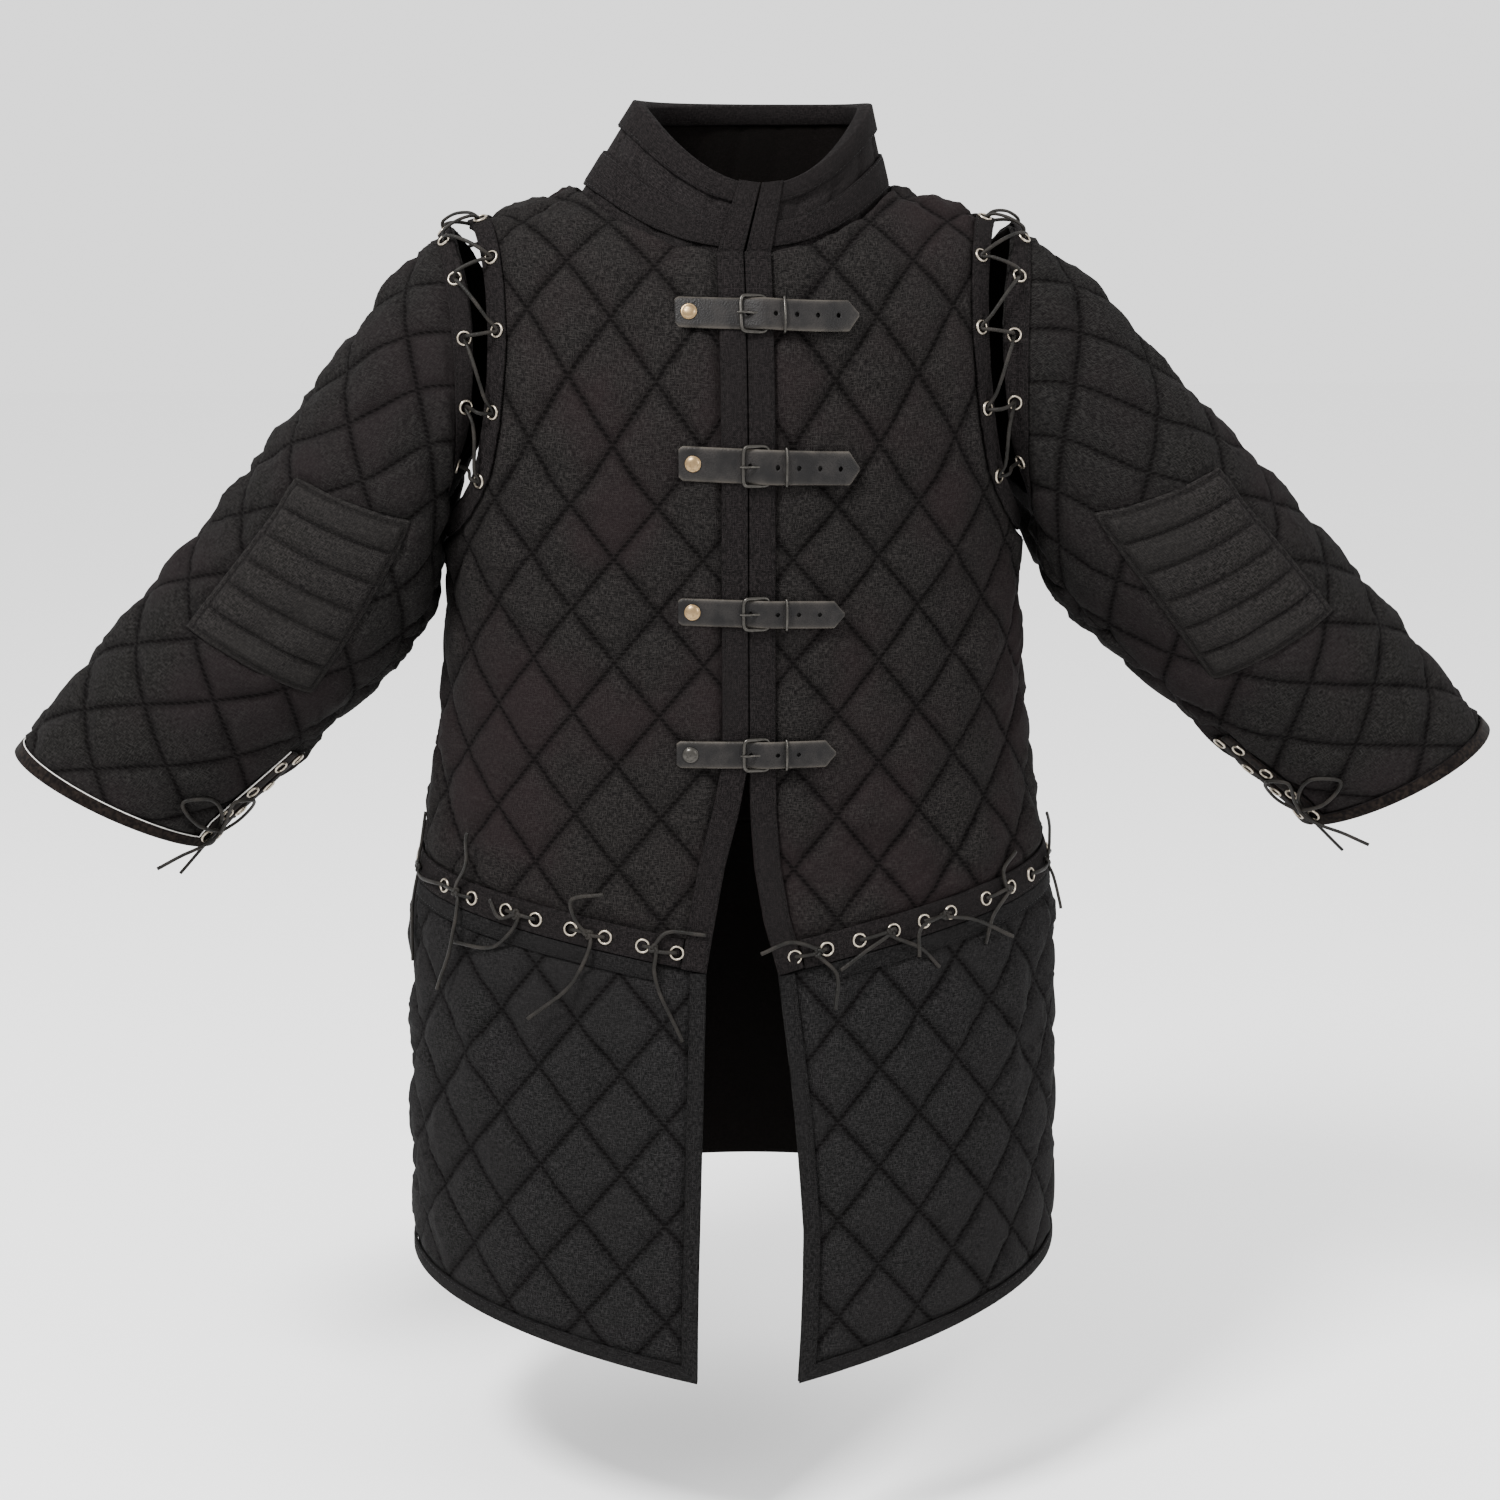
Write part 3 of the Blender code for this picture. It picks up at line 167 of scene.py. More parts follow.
def canvas(name, dark, light, patch, lattice=None, sheen=0.0):
    """Black cotton canvas with painted shade in grooves. With a lattice, its quilting thread is drawn
    along the lines and painted shade darkens the cloth near them.
    """
    made, tree, shader = new_material(name, 0.9, sheen=sheen, level=0.04)
    flat = add(tree, "UVMap", {"uv_map": "cloth"}).outputs[0]
    parts = add(tree, "SeparateXYZ", inputs={0: flat})
    s, t = parts.outputs[0], parts.outputs[1]
    place = add(tree, "TexCoord").outputs["Object"]
    warp = reckon(tree, "SINE", reckon(tree, "MULTIPLY", s, 2 * math.pi / WEAVE))
    weft = reckon(tree, "SINE", reckon(tree, "MULTIPLY", t, 2 * math.pi / WEAVE))
    weave = reckon(tree, "MULTIPLY", warp, weft)
    threads = [
        add(tree, "TexNoise", inputs={
            "Vector": add(tree, "Mapping", inputs={"Vector": flat, "Scale": scale}).outputs[0],
            "Scale": 1, "Detail": 2,
        }).outputs[0]
        for scale in ((260, 1300, 1), (1300, 260, 1))
    ]
    grain = reckon(tree, "MAXIMUM", *threads)
    lint = add(tree, "TexNoise", inputs={"Vector": place, "Scale": 260, "Detail": 4}).outputs[0]
    worn = add(tree, "TexNoise", inputs={"Vector": place, "Scale": 9, "Detail": 5}).outputs[0]
    slub = add(tree, "TexNoise", inputs={
        "Vector": add(tree, "Mapping", inputs={"Vector": flat, "Scale": (40, 900, 1)}).outputs[0],
        "Scale": 1, "Detail": 2,
    }).outputs[0]
    colour = blended(tree, ramp(tree, grain, 0.42, 0.74), dark, light)
    colour = blended(tree, ramp(tree, worn, 0.42, 0.68, 0, 0.55), colour, patch)
    colour = blended(tree, ramp(tree, slub, 0.56, 0.75, 0, 0.35), colour, light)
    # Painted shade: a piece's groove attribute darkens its colour towards the seam shade colour
    groove_shade = add(tree, "Attribute", {"attribute_name": "groove_shade"}).outputs["Fac"]
    colour = blended(tree, groove_shade, colour, SEAM_SHADE)
    high = reckon(tree, "ADD", reckon(tree, "MULTIPLY", weave, 0.35), grain)
    high = reckon(tree, "ADD", high, reckon(tree, "MULTIPLY", lint, 0.8))
    if lattice:
        lines = [nearest_line(tree, s, t, *lattice, lean) for lean in (1, -1)]
        near = reckon(tree, "MINIMUM", *lines)
        # Painted shade in the seams' valleys: darker the nearer a quilting line is, out to 6 mm
        colour = blended(tree, ramp(tree, near, 0.0005, 0.006, 0.42, 0), colour, SEAM_SHADE)
        along = reckon(tree, "MULTIPLY", t, 2 * math.pi / STITCH * 1.3)
        thread = ramp(tree, reckon(tree, "SINE", along), -0.6, 0.4, 0.25, 1)
        line = reckon(tree, "MULTIPLY", ramp(tree, near, 0.0006, 0.0017, 1, 0), thread)
        colour = blended(tree, reckon(tree, "MULTIPLY", line, 0.8), colour, "040303")
        high = reckon(tree, "SUBTRACT", high, reckon(tree, "MULTIPLY", line, 2.0))
    bump = add(tree, "Bump", inputs={"Strength": 0.55, "Distance": 0.0007, "Height": high})
    plug(tree, shader, {"Base Color": colour, "Normal": bump.outputs[0]})
    return made


LATTICE = (65.0, 77.0)
SLEEVE_LATTICE = (70.0, 70.0)
MATERIALS = {
    "body": canvas("stonewashed canvas", "0a0909", "242221", "1b1415", LATTICE),
    "sleeve": canvas("stonewashed canvas, sleeves", "0a0909", "222120", "191415", SLEEVE_LATTICE),
    "skirt": canvas("canvas, skirt", "0a0a0a", "232222", "171616", LATTICE),
    # The inner faces use a darker copy of the canvas: painted shade inside the coat
    "inside": canvas("canvas, inside, painted shade", "060504", "0d0a0a", "080706"),
    "collar": canvas("stonewashed canvas, collar", "0a0909", "232020", "171515"),
    "band": canvas("folded canvas band", "090808", "1f1c1c", "141212"),
    "pad": canvas("brushed cotton, elbow pads", "0d0c0c", "282625", "1a1918"),
}
print("canvases:", len(MATERIALS))

# %% [markdown]
# ## Suede, leather, thong and metal
#
# The cuffs are edged with split suede, whose nap is mottled and drinks the light. The straps are
# drum-dyed strap leather: a fine pebbled grain, an even satin finish, and edges rubbed paler.
# The laces are waxed leather thong, a little brown where the wax has gone. The fittings are
# plated steel gone to an antique finish, warmer on the domed rivets.


# %% Suede, leather and thong
def suede(name, dark, light):
    """Split suede: a mottled nap with no shine."""
    made, tree, shader = new_material(name, 0.97, sheen=0.03, level=0.05)
    place = add(tree, "TexCoord").outputs["Object"]
    nap = add(tree, "TexNoise", inputs={"Vector": place, "Scale": 330, "Detail": 6}).outputs[0]
    patches = add(tree, "TexNoise", inputs={"Vector": place, "Scale": 60, "Detail": 4}).outputs[0]
    colour = blended(tree, ramp(tree, nap, 0.35, 0.68), dark, light)
    colour = blended(tree, ramp(tree, patches, 0.45, 0.7, 0, 0.5), colour, dark)
    bump = add(tree, "Bump", inputs={"Strength": 0.6, "Distance": 0.0006, "Height": nap})
    plug(tree, shader, {"Base Color": colour, "Normal": bump.outputs[0]})
    return made


def leather(name, dark, light, edge, grain_size):
    """Dyed leather with a pebbled grain. The rubbed attribute, on a piece that has it, pales it."""
    made, tree, shader = new_material(name, 0.5, level=0.12)
    place = add(tree, "TexCoord").outputs["Object"]
    cells = add(tree, "TexVoronoi", inputs={"Vector": place, "Scale": 1 / grain_size})
    grain = cells.outputs["Distance"]
    pull = add(tree, "TexNoise", inputs={"Vector": place, "Scale": 70, "Detail": 5}).outputs[0]
    rubbed = add(tree, "Attribute", {"attribute_name": "rubbed"}).outputs["Fac"]
    pits = ramp(tree, grain, 0.1, 0.6, 0.7, 0)
    colour = blended(tree, pits, blended(tree, ramp(tree, pull, 0.35, 0.7), dark, light), dark)
    wear = reckon(tree, "MULTIPLY", rubbed, ramp(tree, pull, 0.3, 0.6, 0.4, 1))
    colour = blended(tree, wear, colour, edge)
    rough = ramp(tree, pull, 0.3, 0.7, 0.42, 0.62)
    bump = add(tree, "Bump", inputs={"Strength": 0.6, "Distance": 0.0004, "Height": grain})
    plug(tree, shader, {"Base Color": colour, "Roughness": rough, "Normal": bump.outputs[0]})
    return made


def metal(name, bright, tarnish, roughness):
    """Plated metal: bright where it is handled, tarnished in patches."""
    made, tree, shader = new_material(name, roughness, metallic=1.0)
    place = add(tree, "TexCoord").outputs["Object"]
    spots = add(tree, "TexNoise", inputs={"Vector": place, "Scale": 420, "Detail": 5}).outputs[0]
    colour = blended(tree, ramp(tree, spots, 0.45, 0.8, 0, 0.7), bright, tarnish)
    rough = ramp(tree, spots, 0.4, 0.7, roughness, roughness + 0.2)
    plug(tree, shader, {"Base Color": colour, "Roughness": rough})
    return made


MATERIALS.update({
    "suede": suede("split suede", "070505", "1a1512"),
    "strap": leather("strap leather", "121111", "1f1d1c", "423e39", 0.0013),
    "thong": leather("waxed leather thong", "100f0d", "23201d", "35302a", 0.0009),
    "steel": metal("antiqued steel", "403e3b", "201f1d", 0.3),
    "brass": metal("antiqued brass", "8a7456", "584731", 0.32),
    "eyelet": metal("nickelled eyelet", "a39a8c", "6b645a", 0.3),
    "piping": canvas("white cotton piping", "a8a6a2", "d8d6d2", "c0beb9"),
    # Near-black finish of the cups behind the eyelets: painted shade inside the holes
    "hole": canvas("painted shade behind a hole", "040303", "080606", "050404"),
})
print("materials:", len(MATERIALS))

# %% [markdown]
# ## From flat cloth to the worn coat
#
# Cloth is cut flat and then takes the shape of what wears it. Here the flat place of a point is
# (s, t): s runs round the body or the arm from the centre line, t runs down from the shoulder.
# These functions are the ones the solids were made with, so each piece lands where its solid is.
# The body is an ellipse whose size changes with the drop below the shoulder, closed over the
# shoulder by a quarter turn.

# %% Body tables
# Thickness of the quilting at its crowns and under a band, and the gaps beside and under pieces
WALL_PUFF, WALL_BAND = 9.0, 4.9
GAP, LIFT = 0.3, 0.5
HALF_GAP = GAP / 2
BAND_THICK, STRIP_THICK = 2.5, 3.7
STRIP_STEP, SEAM_STEP = 40.0, 15.0
# Drop below the neck points, half width, depth to the front and depth to the back
BODY_ROWS = np.array([
    (0, 224, 140, 118), (110, 223, 145, 120), (200, 224, 149, 124), (300, 225, 152, 127),
    (360, 229, 154, 130), (440, 237, 158, 136), (490, 247, 164, 145), (530, 255, 170, 154),
    (600, 258, 178, 166), (720, 262, 188, 180), (810, 263, 193, 188), (920, 263, 198, 194),
], float)
FRONT = {"side": -1, "column": 2, "fall": 200.0, "turn": 291.0, "rise": 100.0, "hollow": 20.0}
BACK = {"side": 1, "column": 3, "fall": 110.0, "turn": 193.0, "rise": 88.0, "hollow": 38.0}
RISE_REACH, SHOULDER_SLOPE, RIDGE_REACH, RIDGE_ROUND = 260.0, 0.31, 125.0, 40.0
LEVEL_MM = 1000.0
NECK_SIDE, NECK_FRONT, NECK_BACK = 122.0, 145.0, 86.0
SHOULDER_TIP, UNDERARM_DROP = 206.0, 240.0
WAIST_DROP, WAIST_DIP, WAIST_GAP = 524.0, 44.0, 0.4
HEM_DROP, HEM_DIP, DIP_POWER = 836.0, 54.0, 1.5
# Drop, and how far the front on the wearer's right and left stands from the centre line
FRONT_EDGE = np.array([
    (0, 0.3, 0.3), (405, 0.3, 0.3), (450, 9, 1), (490, 20, 4), (530, 27, 11), (570, 33, 21),
    (665, 36, 32), (760, 39, 39), (820, 41, 38), (900, 42, 34),
], float)
FRONT_STRIP, WAIST_BAND, HEM_BAND, ARMHOLE_BAND = 19.0, 22.0, 12.0, 16.0


# %% Helpers for lines and directions
SIDES = ((-1, "right"), (1, "left"))


def unit(vectors):
    """The vectors at length one."""
    return vectors / np.linalg.norm(vectors, axis=-1, keepdims=True)


def run_of(line):
    """Length along a line of points, from its first point to each one."""
    return np.concatenate([[0], np.cumsum(np.linalg.norm(np.diff(line, axis=0), axis=1))])


# %% Body surface
def smooth(at, places, values):
    """A smooth curve through a table: a cubic between rows, straight on beyond the last ones."""
    slopes = np.gradient(values, places)
    row = np.clip(np.searchsorted(places, at, side="right") - 1, 0, len(places) - 2)
    width = places[row + 1] - places[row]
    x = np.clip((at - places[row]) / width, 0, 1)
    start, end = values[row], values[row + 1]
    a = slopes[row] * width - (end - start)
    b = -slopes[row + 1] * width + (end - start)
    past = at - np.clip(at, places[0], places[-1])
    straight = past * np.where(past < 0, slopes[0], slopes[-1])
    return start * (1 - x) + end * x + x * (1 - x) * (a * (1 - x) + b * x) + straight


def body_at(angle, level, half):
    """Half an ellipse of the row's width and depth, times the sine of the shoulder's bend."""
    bend = np.clip(level, 0, 1) * math.pi / 2
    drop = half["fall"] + np.maximum(level - 1, 0) * LEVEL_MM
    width = smooth(drop, BODY_ROWS[:, 0], BODY_ROWS[:, 1]) - WALL_PUFF
    depth = smooth(drop, BODY_ROWS[:, 0], BODY_ROWS[:, half["column"]]) - WALL_PUFF
    x = width * np.sin(angle)
    ridge = SHOULDER_SLOPE * (RIDGE_REACH - np.hypot(x, RIDGE_ROUND))
    y = half["side"] * depth * np.sin(bend) * np.cos(angle)
    z = (half["fall"] + ridge) * np.cos(bend) - drop
    return np.stack(np.broadcast_arrays(x, y, z), axis=-1)


ANGLES = np.radians(np.arange(0, 97))
SIDE = 90
LEVELS = np.concatenate([np.linspace(0, 1, 21), 1 + np.linspace(0.02, 0.84, 42)])


def arc_table(half):
    """Length round the body from the centre line to each angle, a row for each level."""
    points = body_at(ANGLES[None], LEVELS[:, None], half)
    steps = np.linalg.norm(np.diff(points, axis=1), axis=2)
    return np.concatenate([np.zeros((len(LEVELS), 1)), np.cumsum(steps, axis=1)], axis=1)


for body_half in (FRONT, BACK):
    body_half["arcs"] = arc_table(body_half)


def shoulder_line(s, half):
    """t of the shoulder seam: a squared sine that grows towards the tip."""
    return half["rise"] * np.sin(np.minimum(np.abs(s) / RISE_REACH, 1) * math.pi / 2) ** 2


def body_surface(s, t, half):
    """Point of the inner face at (s, t): the angle is read back from the table of lengths."""
    size = np.abs(s)
    bend = 1 - (half["turn"] - t) / (half["turn"] - shoulder_line(size, half))
    below = 1 + (t - half["turn"]) / LEVEL_MM
    level = np.where(t < half["turn"], np.maximum(bend, 0), below)
    place = np.interp(level, LEVELS, np.arange(len(LEVELS)))
    low = np.minimum(place.astype(int), len(LEVELS) - 2)
    share = place - low
    every = np.array([np.interp(size, arcs, ANGLES) for arcs in half["arcs"]])
    point = np.arange(len(size))
    angle = every[low, point] * (1 - share) + every[low + 1, point] * share
    made = body_at(angle, level, half)
    made[:, 0] *= np.where(s < 0, -1, 1)
    return made


def t_of_drop(drop, half):
    """t of a place at a drop below the neck points, below the shoulder's bend."""
    return half["turn"] + drop - half["fall"]


def side_seam(drop, half):
    """s of the side seam at a drop below the shoulder's bend."""
    level = 1 + (drop - half["fall"]) / LEVEL_MM
    return np.interp(level, LEVELS, half["arcs"][:, SIDE])


def s_of_x(x, drop, half):
    """s of the point that lies x from the centre line, at a drop below the shoulder's bend."""
    level = 1 + (drop - half["fall"]) / LEVEL_MM
    width = np.interp(drop, BODY_ROWS[:, 0], BODY_ROWS[:, 1]) - WALL_PUFF
    row = half["arcs"][np.argmin(np.abs(LEVELS - level))]
    return math.copysign(np.interp(math.asin(min(abs(x) / width, 1)), ANGLES, row), x)


# %% [markdown]
# ### The sleeve
#
# A sleeve is a tube of ellipses whose upper and lower points are read from a table. Its seam lies
# under the arm, and its head rises over the shoulder in a cosine.

# %% Sleeve tables and surface
# On the wearer's left: x and z of the upper side, x and z of the lower side, half depth, and how
# much further to the wearer's left both sleeves lie
SLEEVE_ROWS = np.array([
    (209, -15, 238, -236, 72, 0), (258, -57, 242, -289, 79, 6), (321, -126, 255, -325, 81, 14),
    (386, -197, 294, -366, 78, 20), (450, -266, 339, -410, 74, 22), (512, -335, 386, -452, 70, 23),
    (560, -390, 419, -480, 68, 24), (586, -420, 433, -496, 69, 25),
], float)
SLEEVE_LENGTH, HEAD_RISE, HEAD_HOLLOW, HEAD_REACH = 558.0, 104.0, (24.0, 46.0), 0.4
SEAM_TURN = math.radians(20)
SLIT_LENGTH, SLIT_HALF, CUFF_BAND = 120.0, 4.0, 11.0
PAD_LENGTH, PAD_WIDTH, PAD_CHANNELS, PAD_MIDDLE = 153.0, 100.0, 6, (0.30, 305.0)
arm_run = run_of((SLEEVE_ROWS[:, :2] + SLEEVE_ROWS[:, 2:4]) / 2)
SLEEVE_PLACES = arm_run / arm_run[-1]


def sleeve_row(share):
    """Upper point, lower point and half depth of the inner face at a share of the way down."""
    upper_x, upper_z, lower_x, lower_z, depth = (
        smooth(share, SLEEVE_PLACES, column) for column in SLEEVE_ROWS[:, :5].T
    )
    upper, lower = np.stack([upper_x, upper_z], -1), np.stack([lower_x, lower_z], -1)
    inward = WALL_PUFF * unit(upper - lower)
    return upper - inward, lower + inward, depth - WALL_PUFF


def sleeve_round(share):
    """Length round the ellipse, by the usual estimate from its two half axes."""
    upper, lower, b = sleeve_row(share)
    a = np.linalg.norm(upper - lower, axis=-1) / 2
    return math.pi * (3 * (a + b) - np.sqrt((3 * a + b) * (a + 3 * b)))


HEAD_ROUND = float(sleeve_round(np.array(0.0)))
SEAM_SHIFT = HEAD_ROUND * SEAM_TURN / (2 * math.pi)


def head_line(s):
    """t of the sleeve head's edge: one minus a cosine round the arm."""
    return HEAD_RISE * (1 - np.cos(2 * math.pi * (s - SEAM_SHIFT) / HEAD_ROUND))


def sleeve_surface(s, t, side):
    """Point of the sleeve's inner face, on the ellipse at its share of the way down."""
    head = head_line(s)
    share = (t - head) / (SLEEVE_LENGTH - head)
    upper, lower, depth = sleeve_row(share)
    turn = 2 * math.pi * s / sleeve_round(share) - SEAM_TURN
    middle, reach = (upper + lower) / 2, (upper - lower) / 2
    flat = middle + reach * np.cos(turn)[:, None]
    hollow = np.where(np.sin(turn) > 0, *HEAD_HOLLOW) * np.sin(turn) ** 2
    hollow *= np.maximum(1 - share / HEAD_REACH, 0) ** 2
    x = side * (flat[:, 0] - hollow) + smooth(share, SLEEVE_PLACES, SLEEVE_ROWS[:, 5])
    return np.stack([x, -depth * np.sin(turn), flat[:, 1]], axis=1)


# %% [markdown]
# ### Creases
#
# A worn coat isn't only quilted: it drags from the underarm, drops from the bust and crumples
# above the waist. Each crease is a soft ridge with a shallower trough beside it, placed along a
# short line, and it lifts or lowers the whole wall. Everything sewn on a panel is laid with the
# same function, so it follows. The back has its own creases, much like the front's.

# %% Crease tables
# Start (s, t), end (s, t), half width and rise, all in millimetres
CREASES = {
    "front": [
        (-205, 330, -120, 395, 11, 3.2), (-225, 372, -140, 425, 10, -2.6),
        (-190, 250, -105, 215, 13, 2.4), (-60, 170, -105, 300, 16, -2.0),
        (200, 322, 118, 380, 12, 3.0), (222, 380, 128, 440, 10, -2.8),
        (185, 245, 112, 205, 14, 2.2), (55, 185, 88, 320, 15, -1.8),
        (-235, 560, -150, 590, 9, 2.6), (-130, 598, -52, 612, 8, 2.2),
        (235, 556, 150, 592, 9, 2.4), (128, 600, 60, 610, 8, 2.0),
        (-60, 452, -150, 500, 14, 1.9), (62, 470, 160, 505, 14, 2.1),
        (-230, 665, -214, 780, 12, 4.2), (-190, 668, -178, 745, 10, -3.0),
        (-120, 672, -128, 760, 11, 2.4), (228, 668, 214, 800, 13, 3.8),
        (180, 670, 188, 765, 11, -2.6), (110, 675, 118, 770, 11, 2.2),
        (-150, 830, -120, 920, 16, 1.8), (140, 820, 120, 925, 16, 1.6),
    ],
    "back": [
        (-205, 240, -118, 300, 12, 3.0), (205, 236, 122, 306, 12, 3.2),
        (-190, 170, -120, 140, 14, 2.2), (190, 172, 118, 138, 14, 2.0),
        (-70, 210, 66, 222, 16, -2.2), (-170, 470, -40, 492, 10, 2.8),
        (30, 495, 165, 474, 10, 2.6), (-90, 420, 80, 436, 14, 1.8),
        (-225, 570, -212, 700, 12, 3.8), (-120, 572, -116, 680, 13, 2.6),
        (-30, 574, -36, 720, 14, -2.4), (60, 572, 70, 690, 12, 3.0),
        (150, 572, 160, 705, 13, -2.8), (225, 570, 214, 690, 12, 3.4),
    ],
    "sleeve": [
        (-90, 250, -20, 292, 12, 3.4), (-110, 300, -32, 330, 10, -2.8),
        (-60, 180, 36, 232, 14, 2.6), (118, 268, 62, 196, 12, 2.4),
        (165, 300, 122, 380, 12, -2.6), (60, 410, 140, 446, 11, 2.4),
        (-150, 350, -70, 392, 12, 2.8), (-120, 430, -40, 470, 11, 2.0),
        (10, 60, 40, 150, 14, -2.2), (80, 110, 120, 170, 13, 2.2),
    ],
}


def crease_lift(s, t, rows):
    """Sum of the creases: each is a bell across its line less a smaller bell beside it, and a
    sine along the line."""
    rows = np.array(rows, float)
    start, end = rows[:, 0:2], rows[:, 2:4]
    run = end - start
    length = np.linalg.norm(run, axis=1)
    run /= length[:, None]
    away = np.stack([s, t], axis=1)[:, None] - start
    along = np.clip((away * run).sum(axis=2) / length, 0, 1)
    off = (away[..., 0] * run[:, 1] - away[..., 1] * run[:, 0]) / rows[:, 4]
    bell = np.exp(-off ** 2) - 0.6 * np.exp(-(off - 1.7) ** 2)
    return (rows[:, 5] * bell * np.sin(math.pi * along)).sum(axis=1)


def body_base(half):
    """What a piece of the body is laid on: the surface, the way it faces and its creases."""
    rows = CREASES["front" if half is FRONT else "back"]
    return (lambda s, t: body_surface(s, t, half)), half["side"], rows


def sleeve_base(side):
    """The same for a piece of a sleeve."""
    return (lambda s, t: sleeve_surface(s, t, side)), side, CREASES["sleeve"]


def laid(s, t, base):
    """Points on the creased inner face, in millimetres, and the unit normals out of the cloth."""
    surface, facing, rows = base
    shape = np.shape(s)
    s, t = np.ravel(s).astype(float), np.ravel(t).astype(float)
    step = 0.5
    across = surface(s + step, t) - surface(s - step, t)
    down = surface(s, t + step) - surface(s, t - step)
    normal = facing * unit(np.cross(across, down))
    lift = crease_lift(s, t, rows) if rows else np.zeros(len(s))
    points = surface(s, t) + normal * lift[:, None]
    return points.reshape(*shape, 3), normal.reshape(*shape, 3)


def placed(flat, base):
    """World places, in metres, of flat places (s, t, height) in millimetres."""
    flat = np.asarray(flat, float)
    points, normal = laid(flat[..., 0], flat[..., 1], base)
    return (points + normal * flat[..., 2:3]) / 1000


# %% [markdown]
# ## Meshes from arrays
#
# Every new piece is a grid of points, worked out as one array, and a mesh made from it in a
# single call. A panel is a closed shell: the outer grid, the inner grid the other way round, and
# a rim that joins their edges. A band or a cord is a closed section carried along a line.


# %% Mesh makers
def grid_faces(rows, columns, around=False):
    """Quads of a grid of points numbered row by row. Around joins the last column to the first."""
    row, column = np.meshgrid(np.arange(rows - 1), np.arange(columns - (not around)), indexing="ij")
    after = (column + 1) % columns
    corners = [row * columns + column, row * columns + after]
    corners += [(row + 1) * columns + after, (row + 1) * columns + column]
    return np.stack(corners, axis=-1).reshape(-1, 4)


def put_mesh(name, points, faces, uv, finishes, finish_of=None):
    """A mesh object from arrays, with its flat coordinates as the UV map, riding on the coat."""
    mesh = bpy.data.meshes.new(name)
    mesh.from_pydata(np.reshape(points, (-1, 3)).tolist(), [], faces)
    if uv is not None:
        corner = np.empty(len(mesh.loops), np.int32)
        mesh.loops.foreach_get("vertex_index", corner)
        layer = mesh.uv_layers.new(name="cloth")
        layer.data.foreach_set("uv", np.asarray(uv, np.float32).reshape(-1, 2)[corner].ravel())
    for key in finishes:
        mesh.materials.append(MATERIALS[key])
    if finish_of is not None:
        mesh.polygons.foreach_set("material_index", np.asarray(finish_of, np.int32))
    mesh.polygons.foreach_set("use_smooth", np.ones(len(mesh.polygons), bool))
    mesh.update()
    made = bpy.data.objects.new(name, mesh)
    bpy.context.scene.collection.objects.link(made)
    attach(made, "root")
    return made


def shell(name, outer, inner, uv, finishes):
    """A closed shell from an outer and an inner grid that share their outline."""
    rows, columns = outer.shape[:2]
    count = rows * columns
    front = grid_faces(rows, columns)
    back = front[:, ::-1] + count
    index = np.arange(count).reshape(rows, columns)
    outline = np.concatenate([index[0], index[1:, -1], index[-1, -2::-1], index[-2:0:-1, 0]])
    after = np.roll(outline, -1)
    rim = np.stack([outline, outline + count, after + count, after], axis=1)
    faces = np.concatenate([front, back, rim])
    points = np.concatenate([outer.reshape(-1, 3), inner.reshape(-1, 3)])
    if signed_volume(points, faces) < 0:
        faces = faces[:, ::-1]
    kind = np.concatenate([np.zeros(len(front)), np.ones(len(back)), np.zeros(len(rim))])
    both = np.concatenate([uv.reshape(-1, 2)] * 2)
    return put_mesh(name, points, faces.tolist(), both, finishes, kind)


def signed_volume(points, faces):
    """Volume of a closed mesh of quads: the sum of the tetrahedra to the origin."""
    a, b, c, d = (points[faces[:, k]] for k in range(4))
    centre = points.mean(axis=0)
    a, b, c, d = a - centre, b - centre, c - centre, d - centre
    return (np.cross(b, c) * a).sum() + (np.cross(c, d) * a).sum()


def swept(name, rings, uv, finishes, cyclic=False):
    """A closed tube from a grid of rings (station, point of the section), its ends closed."""
    stations, around = rings.shape[:2]
    points, uv = rings.reshape(-1, 3), np.asarray(uv, float).reshape(-1, 2)
    quads = grid_faces(stations, around, True)
    first = np.arange(around)
    after = (first + 1) % around
    end = (stations - 1) * around
    if cyclic:
        quads = np.concatenate([quads, np.stack([first + end, after + end, after, first], axis=1)])
        caps = np.empty((0, 3), int)
    else:
        pole = np.full(around, stations * around)
        caps = np.concatenate([
            np.stack([after, first, pole], axis=1),
            np.stack([first + end, after + end, pole + 1], axis=1),
        ])
        points = np.concatenate([points, rings[:1].mean(axis=1), rings[-1:].mean(axis=1)])
        middle = uv.reshape(stations, around, 2)[[0, -1]].mean(axis=1)
        uv = np.concatenate([uv, middle])
    if signed_volume(points, np.concatenate([quads, caps[:, [0, 1, 2, 2]]])) < 0:
        quads, caps = quads[:, ::-1], caps[:, ::-1]
    return put_mesh(name, points, quads.tolist() + caps.tolist(), uv, finishes)


# %% [markdown]
# ## Outlines
#
# The outline of each panel is the pattern piece: neck curve, armhole, side seam, waist and hem.
# They are the same lines as in the solids, so panels meet at the same seams.


# %% Outline lines
def offset_line(line, distance):
    """The line moved sideways, with mitred corners."""
    steps = unit(np.diff(line, axis=0))
    sides = np.stack([-steps[:, 1], steps[:, 0]], axis=1)
    before, after = np.vstack([sides[:1], sides]), np.vstack([sides, sides[-1:]])
    mitre = (before + after) / (1 + (before * after).sum(axis=1))[:, None]
    return line + distance * mitre


def front_edge(drop, side):
    """How far the front edge stands from the centre line, read from its table."""
    return np.interp(drop, FRONT_EDGE[:, 0], FRONT_EDGE[:, 1 if side < 0 else 2])


def waist_drop(s, half, seam):
    """Drop of the waist seam: level at the back, and dipping by a power of s at the front."""
    dip = WAIST_DIP if half is FRONT else 0
    return WAIST_DROP + dip * np.maximum(1 - s / seam, 0) ** DIP_POWER


def hem_drop(s, half, seam):
    """Drop of the hem, which dips in the same way."""
    dip = HEM_DIP if half is FRONT else 0
    return HEM_DROP + dip * np.maximum(1 - s / seam, 0) ** DIP_POWER


